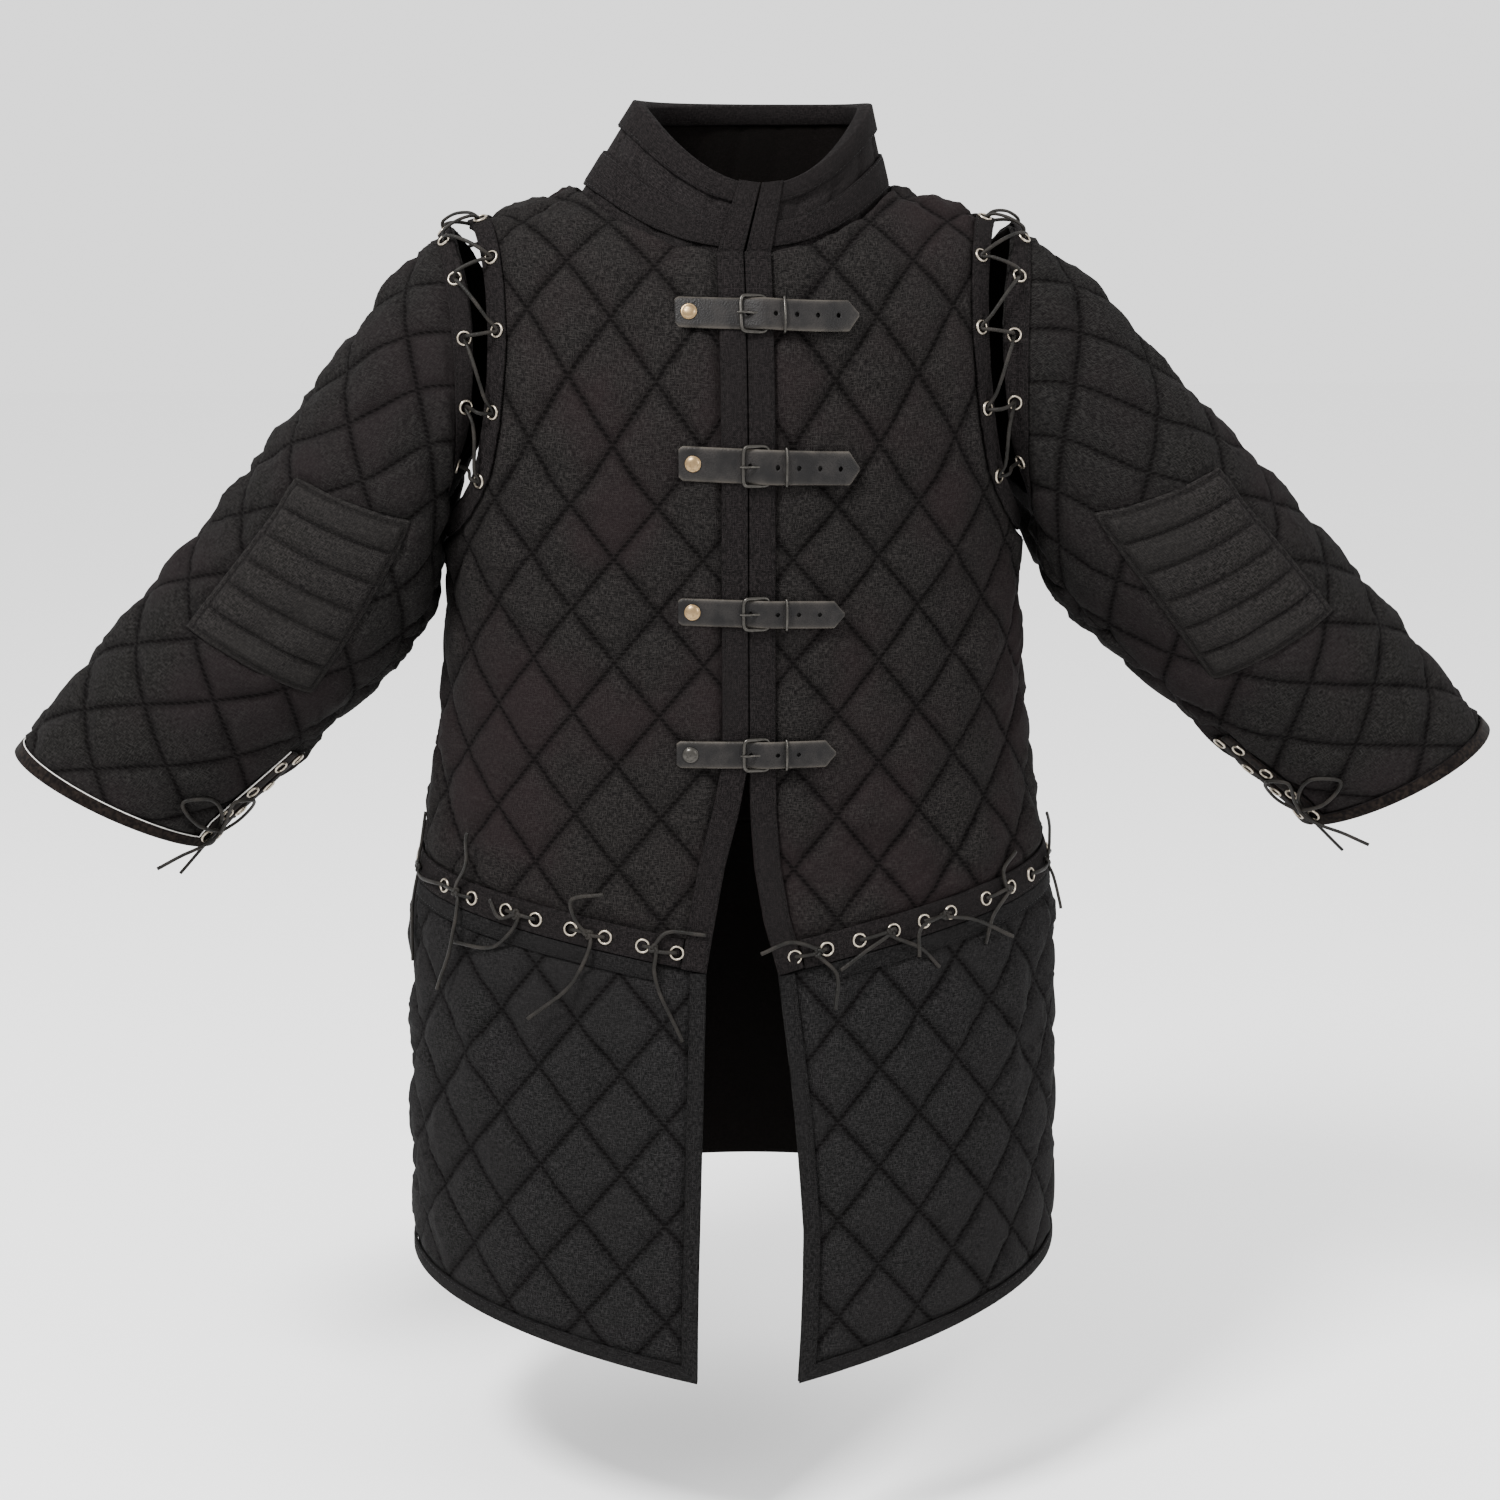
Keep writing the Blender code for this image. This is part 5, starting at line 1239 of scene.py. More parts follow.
def make_pad(word, middle, base):
    """The pad as a closed grid: vaulted channels above, a plain face below."""
    x, y = np.linspace(-1, 1, PAD_GRID[0])[None], np.linspace(-1, 1, PAD_GRID[1])[:, None]
    s = middle[0] + PAD_WIDTH / 2 * x + 0 * y
    t = middle[1] + PAD_LENGTH / 2 * y + 0 * x
    rim = np.minimum((1 - np.abs(x)) * PAD_WIDTH, (1 - np.abs(y)) * PAD_LENGTH) / 2
    channel = (y + 1) / 2 * PAD_CHANNELS
    part = channel - np.floor(np.minimum(channel, PAD_CHANNELS - 0.01))
    vault = np.sqrt(np.clip(1 - (2 * part - 1) ** 2, 0, 1)) ** 1.2
    inside = step_up(rim, 5.0, 9.0)
    edge = np.sqrt(np.clip(1 - (1 - np.minimum(rim / 1.3, 1)) ** 2, 0, 1))
    high = WALL_BAND + 1.2 + 1.5 * edge + inside * (4.6 * vault - 1.4)
    high = high - 0.7 * np.exp(-(rim - BORDER_SEAM) ** 2)
    high = high + 0.5 * inside * (hills(s, t, 14, 71) - 0.5) * vault
    outer = placed(np.stack([s, t, high + 0 * x], axis=-1), base)
    inner = placed(np.stack([s, t, WALL_BAND + LIFT + 0 * s], axis=-1), base)
    flat = np.stack([s, t], axis=-1)
    made = shell(f"elbow_pad_{word}_cloth", outer, inner, flat / 1000, ["pad", "pad"])
    # Painted shade: the grooves between the vaults and along the border seam are darkened in colour
    # through this attribute, which the canvas reads
    groove_shade = 0.75 * inside * np.exp(-(vault / 0.4) ** 2)
    groove_shade = groove_shade + 0.6 * np.exp(-((rim - BORDER_SEAM) / 1.2) ** 2)
    layer = made.data.attributes.new("groove_shade", "FLOAT", "POINT")
    both = np.concatenate([groove_shade.ravel(), 0 * groove_shade.ravel()])
    layer.data.foreach_set("value", both.astype(np.float32))
    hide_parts(f"elbow_pad_{word}")
    for row in range(1, PAD_CHANNELS):
        t_row = middle[1] + PAD_LENGTH * (row / PAD_CHANNELS - 0.5)
        line = middle[0] + np.array([-0.43, 0.43]) * PAD_WIDTH
        stitch_row(f"elbow_pad_{word}_seam_{row}", np.stack([line, [t_row] * 2], axis=1), base,
                   WALL_BAND + 2.4)
    a, b = PAD_WIDTH / 2 - BORDER_SEAM, PAD_LENGTH / 2 - BORDER_SEAM
    ring = np.array([(-a, -b), (a, -b), (a, b), (-a, b), (-a, -b)]) + middle
    stitch_row(f"elbow_pad_{word}_border", ring, base, WALL_BAND + 2.2)


for side, word in SIDES:
    make_sleeve(side, word)

# %% [markdown]
# ## The collar
#
# The standing collar is one long strip of quilted cloth on the neck's curve, stitched in upright
# channels. A wide band is sewn along its lower half, a folded binding wraps its upper edge, and
# the front strips carry on up its two ends.

# %% Collar surface
COLLAR_WALL, COLLAR_HEIGHT, COLLAR_CHANNEL, COLLAR_LEAN = 6.5, 70.0, 36.0, 14.0
COLLAR_TOP = {"half_width": 82.0, "front": 74.0, "back": 63.0, "front_z": 8.0, "side_z": 66.0}
COLLAR_BAND, BINDING = (9.0, 34.0), 19.0
back_neck, front_neck = neck_line(BACK)[::-1], neck_line(FRONT)[1:]
COLLAR_BASE = np.concatenate([
    body_surface(back_neck[:, 0], back_neck[:, 1], BACK),
    body_surface(front_neck[:, 0], front_neck[:, 1], FRONT),
])
COLLAR_ALONG = run_of(COLLAR_BASE)
COLLAR_REACH = COLLAR_ALONG[-1]
COLLAR_END = COLLAR_REACH - 2 * GAP


def collar_top(share):
    """The collar's upper edge: an ellipse whose height drops towards the front."""
    turn = math.pi * share
    ahead = np.maximum(-np.cos(turn), 0)
    deep = np.where(np.cos(turn) > 0, COLLAR_TOP["back"], COLLAR_TOP["front"])
    high = COLLAR_TOP["side_z"] - (COLLAR_TOP["side_z"] - COLLAR_TOP["front_z"]) * ahead ** 2
    return np.stack([COLLAR_TOP["half_width"] * np.sin(turn), deep * np.cos(turn), high], axis=-1)


def collar_surface(s, t):
    """Point of the collar's inner face, ruled from the neck's curve up to the upper edge."""
    size = np.minimum(np.abs(s), COLLAR_REACH)
    base, ahead, behind = (
        np.stack([smooth(size + step, COLLAR_ALONG, column) for column in COLLAR_BASE.T], axis=1)
        for step in (0, 1, -1)
    )
    top = collar_top(size / COLLAR_REACH)
    outward = unit(np.cross(top - base, ahead - behind))
    inner = base - outward * COLLAR_WALL - 2 * GAP * unit(outward * (1, 1, 0))
    made = inner + (top - inner) * (t / COLLAR_HEIGHT)[:, None]
    made[:, 0] *= np.where(s < 0, -1, 1)
    made[:, 0] += COLLAR_LEAN * t / COLLAR_HEIGHT
    return made


# %% Collar pieces
def make_collar():
    """The quilted strip, its lower band, its binding and the ends of the front strips."""
    base = (collar_surface, -1, None)
    s, t = np.meshgrid(np.linspace(-COLLAR_END, COLLAR_END, 230), np.linspace(0, COLLAR_HEIGHT, 34))
    count = round(2 * COLLAR_REACH / COLLAR_CHANNEL)
    channel = (s + COLLAR_END) / (2 * COLLAR_END) * count
    away = np.abs(channel - np.round(channel)) * COLLAR_CHANNEL
    vault = 1 - np.exp(-(away / 5.0) ** 1.3)
    pucker = 0.4 * np.sin(t / 1.35 + 5 * hills(s, t, 24, 81)) * np.exp(-((away - 3.5) / 3.5) ** 2)
    high = COLLAR_WALL - 2.3 + 2.3 * vault + pucker
    outer = placed(np.stack([s, t, high], axis=-1), base)
    inner = placed(np.stack([s, t, 0.9 - 0.9 * vault], axis=-1), base)
    flat = np.stack([s, t], axis=-1)
    made = shell("collar_cloth", outer, inner, flat / 1000, ["collar", "inside"])
    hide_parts("collar")
    rest = COLLAR_WALL + LIFT
    line = np.array([(-COLLAR_END, 0), (COLLAR_END, 0)])
    low, top = COLLAR_BAND
    band = sewn_band("collar_band_cloth", line + (0, low), line + (0, top), base, rest, 2.0,
                     [1.8, top - low - 1.8], "band", 82)
    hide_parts("collar_band")
    binding = make_binding(base)
    for side, word in SIDES:
        near = np.array([(side * COLLAR_END, 0.5), (side * COLLAR_END, COLLAR_HEIGHT + 2.2)])
        sewn_band(f"collar_end_{word}", near, near - (side * FRONT_STRIP, 0), base,
                              rest + 2.4, 1.8, STRIP_SEAMS, "band", 84 + side)


def make_binding(base):
    """A folded strip over the collar's upper edge: a U-shaped section carried round it."""
    out, inside, thick = COLLAR_WALL + 1.5 * LIFT, -1.5 * LIFT, 2.0
    top, middle = COLLAR_HEIGHT + LIFT, COLLAR_WALL / 2
    turn = np.linspace(0, math.pi, 12)
    fold = middle + (out + thick - middle) * np.cos(turn)
    outer_t = np.concatenate([[top - BINDING, top - BINDING + 1.2], top + 2.0 * np.sin(turn),
                              [top - 12.5, top - 13.5]])
    outer_h = np.concatenate([[out + 0.8, out + thick], fold, [inside - thick, inside - 0.8]])
    inner_t = np.array([top - 13.3, top, top, top - BINDING + 0.4])
    inner_h = np.array([inside, inside, out, out])
    t, high = np.concatenate([outer_t, inner_t]), np.concatenate([outer_h, inner_h])
    s = np.linspace(-COLLAR_END, COLLAR_END, 240)
    ripple = 0.3 * np.sin(s / 4.6 + 6 * hills(s, s * 0, 30, 86))[:, None]
    ripple = ripple * (high > middle)[None] * (t < top)[None]
    points = placed(np.stack(np.broadcast_arrays(s[:, None], t[None], high[None] + ripple), -1), base)
    uv = np.stack(np.broadcast_arrays(s[:, None] / 1000, t[None] / 1000), axis=-1)
    made = swept("collar_binding_cloth", points, uv, ["band"])
    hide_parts("collar_binding")
    line = np.array([(-COLLAR_END, top - BINDING + 2.2), (COLLAR_END, top - BINDING + 2.2)])
    stitch_row("collar_binding_stitches", line, base, out + thick - 0.1)
    return made


make_collar()

# %% [markdown]
# ## Straps and buckles
#
# Each strap is riveted to the front on the wearer's right, passes under one bar of a small wire
# buckle and over the other, and lies on the chape that holds the buckle to the left front. It is
# a flat mesh first, so that its holes can be cut square through it, and then it is wrapped on.

# %% Strap tables
STRAP_WIDTH, STRAP_THICK, STRAP_LOW = 20.0, 2.5, 9.3
# Drop of the middle line, start, end, and how much lower the tip is
STRAPS = np.array([(80, -50, 80, 5), (184, -49, 79, 5), (292, -50, 68, 4), (398, -52, 62, 1)], float)
BUCKLE_AT, BUCKLE_WIDTH, BUCKLE_TALL, BUCKLE_WIRE = 5.0, 21.0, 26.0, 1.4
CHAPE_END, CHAPE_HALF, CHAPE_THICK, KEEPER_AT = 56.0, 9.0, 2.2, 26.0
BAR = BUCKLE_AT + BUCKLE_WIDTH / 2 - BUCKLE_WIRE
FAR_BAR = BUCKLE_AT - BUCKLE_WIDTH / 2 + BUCKLE_WIRE
OVER_BAR = STRAP_LOW + 2 * BUCKLE_WIRE + 2 * GAP
ON_CHAPE = STRAP_LOW + CHAPE_THICK + GAP
HOLES, HOLE_EVERY, HOLE_WIDE = 4, 15.0, 3.2


def strap_t(row):
    """t of a strap's middle line at its start, for its drop on the curved front."""
    drops = -body_surface(np.zeros(300), np.arange(300.0), FRONT)[:, 2]
    if row[0] > FRONT["fall"]:
        return t_of_drop(row[0], FRONT)
    return float(np.interp(row[0], drops, np.arange(300.0)))


def flat_strap(s, middle, half, low, thick):
    """Points of a strip with rounded edges at stations s, as (s, t, height)."""
    x = np.concatenate([np.linspace(-1, 1, 15), np.linspace(1, -1, 15)])
    up = np.concatenate([np.ones(15), np.zeros(15)])
    edge = np.sqrt(np.clip(1 - np.abs(x) ** 14, 0, 1))
    t = middle[:, None] + half[:, None] * x[None]
    high = low[:, None] + thick / 2 + (up - 0.5)[None] * thick * (0.35 + 0.65 * edge)[None]
    return np.stack(np.broadcast_arrays(s[:, None], t, high), axis=-1)


def prisms(places, radius, low, high, sides=14):
    """Upright round cutters at flat places, as points and faces."""
    turn = np.linspace(0, 2 * math.pi, sides, endpoint=False)
    ring = np.stack([radius * np.cos(turn), radius * np.sin(turn)], axis=-1)
    flat = np.asarray(places)[:, None] + ring
    ends = [np.concatenate([flat, np.full((*flat.shape[:2], 1), h)], axis=2) for h in (low, high)]
    points = np.concatenate(ends, axis=1).reshape(-1, 3)
    around = np.arange(sides)
    walls = np.stack([around, (around + 1) % sides, (around + 1) % sides + sides, around + sides], 1)
    lists = []
    for first in np.arange(len(flat)) * 2 * sides:
        lists += (walls + first).tolist()
        lists += [(around[::-1] + first).tolist(), (around + sides + first).tolist()]
    return points, lists


def punched(made, cutter_points, cutter_faces):
    """Cuts the prisms from a flat object with one Boolean and keeps the result as its mesh."""
    mesh = bpy.data.meshes.new("punch")
    mesh.from_pydata(cutter_points.tolist(), [], cutter_faces)
    punch = bpy.data.objects.new("punch", mesh)
    bpy.context.scene.collection.objects.link(punch)
    cut = made.modifiers.new("holes", "BOOLEAN")
    cut.solver, cut.operation, cut.object = "MANIFOLD", "DIFFERENCE", punch
    graph = bpy.context.evaluated_depsgraph_get()
    finished = bpy.data.meshes.new_from_object(made.evaluated_get(graph))
    made.modifiers.clear()
    made.data = finished
    bpy.data.objects.remove(punch, do_unlink=True)


def wrapped(made, base, half_at, middle_at):
    """Carries a flat object onto the coat, with its flat coordinates kept and its edges marked
    as rubbed."""
    mesh = made.data
    flat = np.empty(len(mesh.vertices) * 3)
    mesh.vertices.foreach_get("co", flat)
    flat = flat.reshape(-1, 3)
    edge = half_at(flat[:, 0]) - np.abs(flat[:, 1] - middle_at(flat[:, 0]))
    rub = np.exp(-np.maximum(edge, 0) / 0.9)
    mesh.attributes.new("rubbed", "FLOAT", "POINT").data.foreach_set("value", rub.astype(np.float32))
    mesh.vertices.foreach_set("co", placed(flat, base).astype(np.float32).ravel())
    mesh.polygons.foreach_set("use_smooth", np.ones(len(mesh.polygons), bool))
    mesh.update()


def turned(profile, sides):
    """A solid of revolution: (radius, height) pairs carried round. The ends are on the axis."""
    profile = np.asarray(profile, float)
    turn = np.linspace(0, 2 * math.pi, sides, endpoint=False)
    x = profile[:, :1] * np.cos(turn)
    y = profile[:, :1] * np.sin(turn)
    z = np.broadcast_to(profile[:, 1:], x.shape)
    return np.stack([x, y, z], axis=-1)


def axes_at(flat, base):
    """Points at flat places, and at each the directions along s, along t and out of the cloth."""
    flat = np.atleast_2d(np.asarray(flat, float))
    centre, up = laid(flat[:, 0], flat[:, 1], base)
    along = laid(flat[:, 0] + 0.5, flat[:, 1], base)[0] - centre
    along = unit(along - up * (along * up).sum(axis=1, keepdims=True))
    return centre + up * flat[:, 2:3], (along, np.cross(up, along), up)


def stood(local, centre, axes):
    """Local points in millimetres, carried along the three directions at each centre, in metres."""
    steps = (local[None, :, k:k + 1] * axis[:, None] for k, axis in enumerate(axes))
    return (centre[:, None] + sum(steps)) / 1000


# %% [markdown]
# ### Rivets
#
# A rivet's head is spun: a shallow dome with a rolled rim. The head sits on the strap and its
# shank goes through the leather and the canvas, so only the head is made.

# %% Rivets
SPUN_SIDES = 28
RIVET = np.array([
    (0, 2.4), (1.9, 2.3), (3.5, 1.95), (4.6, 1.3), (5.0, 0.85), (5.5, 0.95), (5.9, 0.65),
    (5.95, 0.2), (5.7, -0.6), (0, -0.6),
])


def spun(name, profile, centre, axes, finish, slot=None):
    """Copies of one spun piece, a copy at each centre, joined into one mesh."""
    world = stood(turned(profile, SPUN_SIDES).reshape(-1, 3), centre, axes)
    first = np.arange(len(world)) * len(profile) * SPUN_SIDES
    faces = grid_faces(len(profile), SPUN_SIDES, True)[None] + first[:, None, None]
    made = put_mesh(name, world, faces.reshape(-1, 4).tolist(), world.reshape(-1, 3)[:, :2],
                    [finish])
    clean(made)


def clean(made):
    """Merges doubled points, such as those at a pole, and turns the faces outwards."""
    shape = bmesh.new()
    shape.from_mesh(made.data)
    bmesh.ops.remove_doubles(shape, verts=shape.verts, dist=2e-6)
    bmesh.ops.recalc_face_normals(shape, faces=shape.faces)
    shape.to_mesh(made.data)
    shape.free()


# %% [markdown]
# ### Strap, buckle and chape together
#
# The strap lies on the cloth, then on the buckle's bar, then on the chape, so its height is read
# from a short table along it and smoothed. The wires are round sections carried along a path.

# %% Fastenings
WIRE_SIDES = 12
PATH_POINTS = {"prong": 40, "keeper": 48, "frame": 72, "chape": 30}


def bar_path(mid):
    """The buckle's frame: a rectangle with round corners, as flat places and heights."""
    turn = np.linspace(0, 2 * math.pi, PATH_POINTS["frame"], endpoint=False)
    x = np.sign(np.cos(turn)) * np.abs(np.cos(turn)) ** 0.36
    y = np.sign(np.sin(turn)) * np.abs(np.sin(turn)) ** 0.36
    s = (BAR + FAR_BAR) / 2 + (BAR - FAR_BAR) / 2 * x
    t = mid + (BUCKLE_TALL / 2 - BUCKLE_WIRE) * y
    low, high = STRAP_LOW + BUCKLE_WIRE, STRAP_LOW + STRAP_THICK + GAP + BUCKLE_WIRE
    return np.stack([s, t, high + (low - high) * (x + 1) / 2], axis=1)


def wire(name, flat, base, radius, maker=tube):
    """A steel wire through flat places, open or closed as its maker is."""
    up = laid(flat[:, 0], flat[:, 1], base)[1]
    return maker(name, placed(flat, base), up, radius, "steel", WIRE_SIDES, "buckle_metal")


def make_fastening(number, row):
    """One strap with its holes, its rivet, its buckle with prong, its keeper and its chape."""
    base = body_base(FRONT)
    first, last, lower = row[1], row[2], row[3]
    start_t = strap_t(row)

    def middle_at(s):
        """t of the strap's middle line, which drops evenly towards the tip."""
        return start_t + lower * (s - first) / (last - first)

    def half_at(s):
        """Half the strap's width, tapered to a blunt point at its tip."""
        taper = np.minimum(1, 0.12 + (last - s) / 8.5)
        return STRAP_WIDTH / 2 * np.maximum(taper, 0.1) * np.minimum(1, 0.8 + (s - first) / 12)

    s = np.concatenate([np.linspace(first, last - 10, 80)[:-1], np.linspace(last - 10, last, 14)])
    knots = [first, FAR_BAR + 3, BAR - 4, BAR + 4, BAR + 12, last]
    levels = [STRAP_LOW, STRAP_LOW, OVER_BAR, OVER_BAR, ON_CHAPE, ON_CHAPE]
    high = np.interp(s, knots, levels)
    kernel = np.hanning(9) / np.hanning(9).sum()
    high = np.convolve(np.pad(high, 4, mode="edge"), kernel, mode="valid")
    rings = flat_strap(s, middle_at(s), half_at(s), high, STRAP_THICK)
    uv = rings[..., :2] / 1000
    made = swept(f"strap_{number}_leather", rings, uv, ["strap"])
    holes = FAR_BAR + 5 + HOLE_EVERY * np.arange(HOLES + 1) + np.array([0, 4, 4, 4, 4])
    holes = holes[holes < last - 14]
    places = np.stack([holes, middle_at(holes)], axis=1)
    punched(made, *prisms(places, HOLE_WIDE / 2, 0, 30))
    wrapped(made, base, half_at, middle_at)
    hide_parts(f"strap_{number}")
    rivet_at = (first + 10, middle_at(first + 10), STRAP_LOW + STRAP_THICK)
    spun(f"rivet_{number}", RIVET, *axes_at(rivet_at, base), "brass" if number < 4 else "steel",
         "buckle_metal")
    mid = middle_at(BUCKLE_AT)
    buckle = wire(f"buckle_{number}_frame", bar_path(mid), base, BUCKLE_WIRE / 1000, closed_tube)
    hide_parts(f"buckle_{number}")
    over = STRAP_LOW + STRAP_THICK + GAP + 2 * BUCKLE_WIRE + 1.0
    path = np.array([
        (BAR - 1.5, STRAP_LOW + 0.4), (BAR + 2.2, STRAP_LOW + 1.4), (BAR - 1, STRAP_LOW + 3.0),
        (FAR_BAR + 7.5, over - 1.8), (FAR_BAR + 3, over), (FAR_BAR - 2.6, over - 0.2),
    ])
    path = curve_through(path, PATH_POINTS["prong"])
    prong = np.stack([path[:, 0], np.full(len(path), mid), path[:, 1]], axis=1)
    thin = np.interp(np.arange(len(path)), [0, 30, 39], [1.1, 1.0, 0.6]) / 1000
    wire(f"prong_{number}", prong, base, thin)
    kept = middle_at(KEEPER_AT)
    foot, top, out = STRAP_LOW, ON_CHAPE + STRAP_THICK + GAP + 0.9, STRAP_WIDTH / 2 + 1.5
    legs = curve_through(np.array([
        (-out, foot), (-out, (foot + top) / 2), (-out + 0.6, top - 0.6), (-out + 2, top),
        (out - 2, top), (out - 0.6, top - 0.6), (out, (foot + top) / 2), (out, foot),
    ]), PATH_POINTS["keeper"])
    loop = np.stack([np.full(len(legs), KEEPER_AT), kept + legs[:, 0], legs[:, 1]], axis=1)
    keeper = across_wire(f"keeper_{number}_loop", loop, base, 1.05 / 1000)
    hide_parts(f"keeper_{number}")
    s = np.linspace(BAR + BUCKLE_WIRE + GAP, CHAPE_END, PATH_POINTS["chape"])
    rings = flat_strap(s, np.interp(s, [s[0], s[-1]], [mid, mid + 2]),
                       CHAPE_HALF * np.minimum(1, 0.55 + (s[-1] - s) / 8),
                       np.full(len(s), STRAP_LOW), CHAPE_THICK)
    chape = swept(f"chape_{number}_leather", placed(rings, base), rings[..., :2] / 1000, ["strap"])
    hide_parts(f"chape_{number}")


def curve_through(points, count):
    """A smooth curve through a few points, read at equal steps."""
    points = np.asarray(points, float)
    along = run_of(points)
    at = np.linspace(0, along[-1], count)
    return np.stack([smooth(at, along, column) for column in points.T], axis=1)


def across_wire(name, flat, base, radius):
    """A wire that stands across the strap, so its section is framed by the strap's direction."""
    points = placed(flat, base)
    ahead = unit(placed(flat + (1, 0, 0), base) - points)
    return tube(name, points, ahead, radius, "steel", WIRE_SIDES, "buckle_metal")


for place, strap_row in enumerate(STRAPS, 1):
    make_fastening(place, strap_row)
print("fastenings:", len(STRAPS))

# %% [markdown]
# ## Eyelets
#
# A nickelled eyelet is pressed through the cloth and rolled over, which leaves a smooth ring
# about 11 mm across. The ring is a small closed loop carried round an axis. One mesh holds all
# the rings of a row, and each has a dark cup behind it for the hole.

# %% Eyelets
EYELET = np.array([
    (4.0, 0.1), (4.05, 0.7), (4.4, 1.15), (4.9, 1.25), (5.4, 0.95), (5.7, 0.3), (5.7, -0.4),
    (4.0, -0.4), (4.0, 0.1),
])
# Profile of the dark cup of painted shade behind an eyelet's hole
SHADE_CUP = np.array([(4.15, 0.12), (1.7, -0.1), (0, -0.2), (0, -0.5), (4.15, -0.5), (4.15, 0.12)])
THONG = 3.0
THONG_HIGH = WALL_PUFF + LIFT + THONG / 2
KNOT_HIGH = WALL_BAND + LIFT + BAND_THICK + LIFT + THONG / 2
BAND_TOP = WALL_BAND + LIFT + BAND_THICK


def eyelet_row(name, centre, axes):
    """Eyelets with their dark cups of painted shade, one at each centre."""
    spun(name, EYELET, centre, axes, "eyelet")
    spun(name + "_holes", SHADE_CUP, centre, axes, "hole")


WAIST_EYELETS = {
    "right": (-309, -249, -218, -186, -161, -133, -107, -79, -54),
    "left": (32, 56, 81, 108, 133, 156, 190, 218, 246, 305),
}


def waist_t(s):
    """t of the middle of the waist band at a place across the front."""
    seam = side_seam(WAIST_DROP, FRONT)
    return t_of_drop(waist_drop(np.abs(s), FRONT, seam) - WAIST_BAND / 2, FRONT)


# %% Eyelets of the waist
front_base = body_base(FRONT)
for word, places in WAIST_EYELETS.items():
    s = np.array(places, float)
    flat = np.stack([s, waist_t(s), np.full(len(s), BAND_TOP)], axis=1)
    eyelet_row(f"waist_eyelets_{word}", *axes_at(flat, front_base))
back_t = t_of_drop(WAIST_DROP - WAIST_BAND / 2, BACK)
flat = [(s, back_t, BAND_TOP) for s in range(-300, 301, 30)]
eyelet_row("waist_eyelets_back", *axes_at(flat, body_base(BACK)))

# %% [markdown]
# ## Waist ties
#
# The front has ten ties. Each is a short thong from two neighbouring eyelets, knotted with two
# free tails. Each tail is one cord here: it leaves its eyelet, passes the knot and runs out over
# the cloth. The routes are those of the solids. The knot is a trefoil, the simplest closed knot,
# drawn tight: three sines and cosines of one turn.

# %% Ties
# x: place across the front. first and last: the two tails, as steps across and down to the tip
TIES = {
    "side_right": {"x": -241, "first": [(3, -20), (4, -42)], "last": [(-7, 32), (-10, 74)]},
    "right_1": {"x": -212, "first": [(15, -22), (22, -48)], "last": [(1, 32), (-11, 74)]},
    "right_2": {"x": -168, "first": [(-15, 4), (-23, -8)], "last": [(-16, 24), (-60, 30)]},
    "right_3": {"x": -117, "first": [(-10, -24), (15, -31)], "last": [(-7, 30), (-43, 66)]},
    "right_4": {"x": -70, "first": [(6, -10), (38, -11)], "last": [(0, 16), (20, 69)]},
    "left_1": {"x": 49, "first": [(-20, -9), (-43, -2)], "last": [(12, 16), (10, 42)]},
    "left_2": {"x": 104, "first": [(-20, 12), (-40, 25)], "last": [(25, 16), (39, 31)]},
    "left_3": {"x": 145, "first": [(20, 5), (56, 24)], "last": [(-24, 6), (-27, 26)]},
    "left_4": {"x": 198, "first": [(-6, -14), (10, -26)], "last": [(-18, 16), (-26, 36)]},
    "side_left": {"x": 236, "first": [(-4, -24), (-20, -40)], "last": [(-1, 8), (-6, 34)]},
}
TAIL_LIFT, TAIL_POINTS, KNOT_RADIUS = 10.0, 46, 1.35


def trefoil(size, count=120):
    """x = sin a + 2 sin 2a, y = cos a - 2 cos 2a, z = -sin 3a, scaled to the knot's size."""
    a = np.linspace(0, 2 * math.pi, count, endpoint=False)
    x, y = np.sin(a) + 2 * np.sin(2 * a), np.cos(a) - 2 * np.cos(2 * a)
    return np.stack([x, y, -0.8 * np.sin(3 * a)], axis=1) * size / 3


def knot(name, flat, base, size=3.3, turn=0.0):
    """A thong knot on the cloth, turned on it by an angle."""
    c, s = math.cos(turn), math.sin(turn)
    local = trefoil(size) @ np.array([(c, s, 0), (-s, c, 0), (0, 0, 1)])
    centre, axes = axes_at(flat, base)
    points = stood(local, centre, axes)[0]
    up = np.repeat(axes[2], len(points), axis=0)
    return closed_tube(name, points, up, KNOT_RADIUS / 1000, "thong", 8, "thong")


def cord_piece(name, flat, base, nodes):
    """A thong through flat places."""
    up = laid(flat[:, 0], flat[:, 1], base)[1]
    cord_through(name, placed(flat, base), up, nodes)


def cord_through(name, points, up, nodes):
    """A thong through world points, a little flat as it was cut from a strip."""
    made = tube(name, points, up, THONG / 2000, "thong", slot="thong", flatten=0.82)
    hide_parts(*nodes)


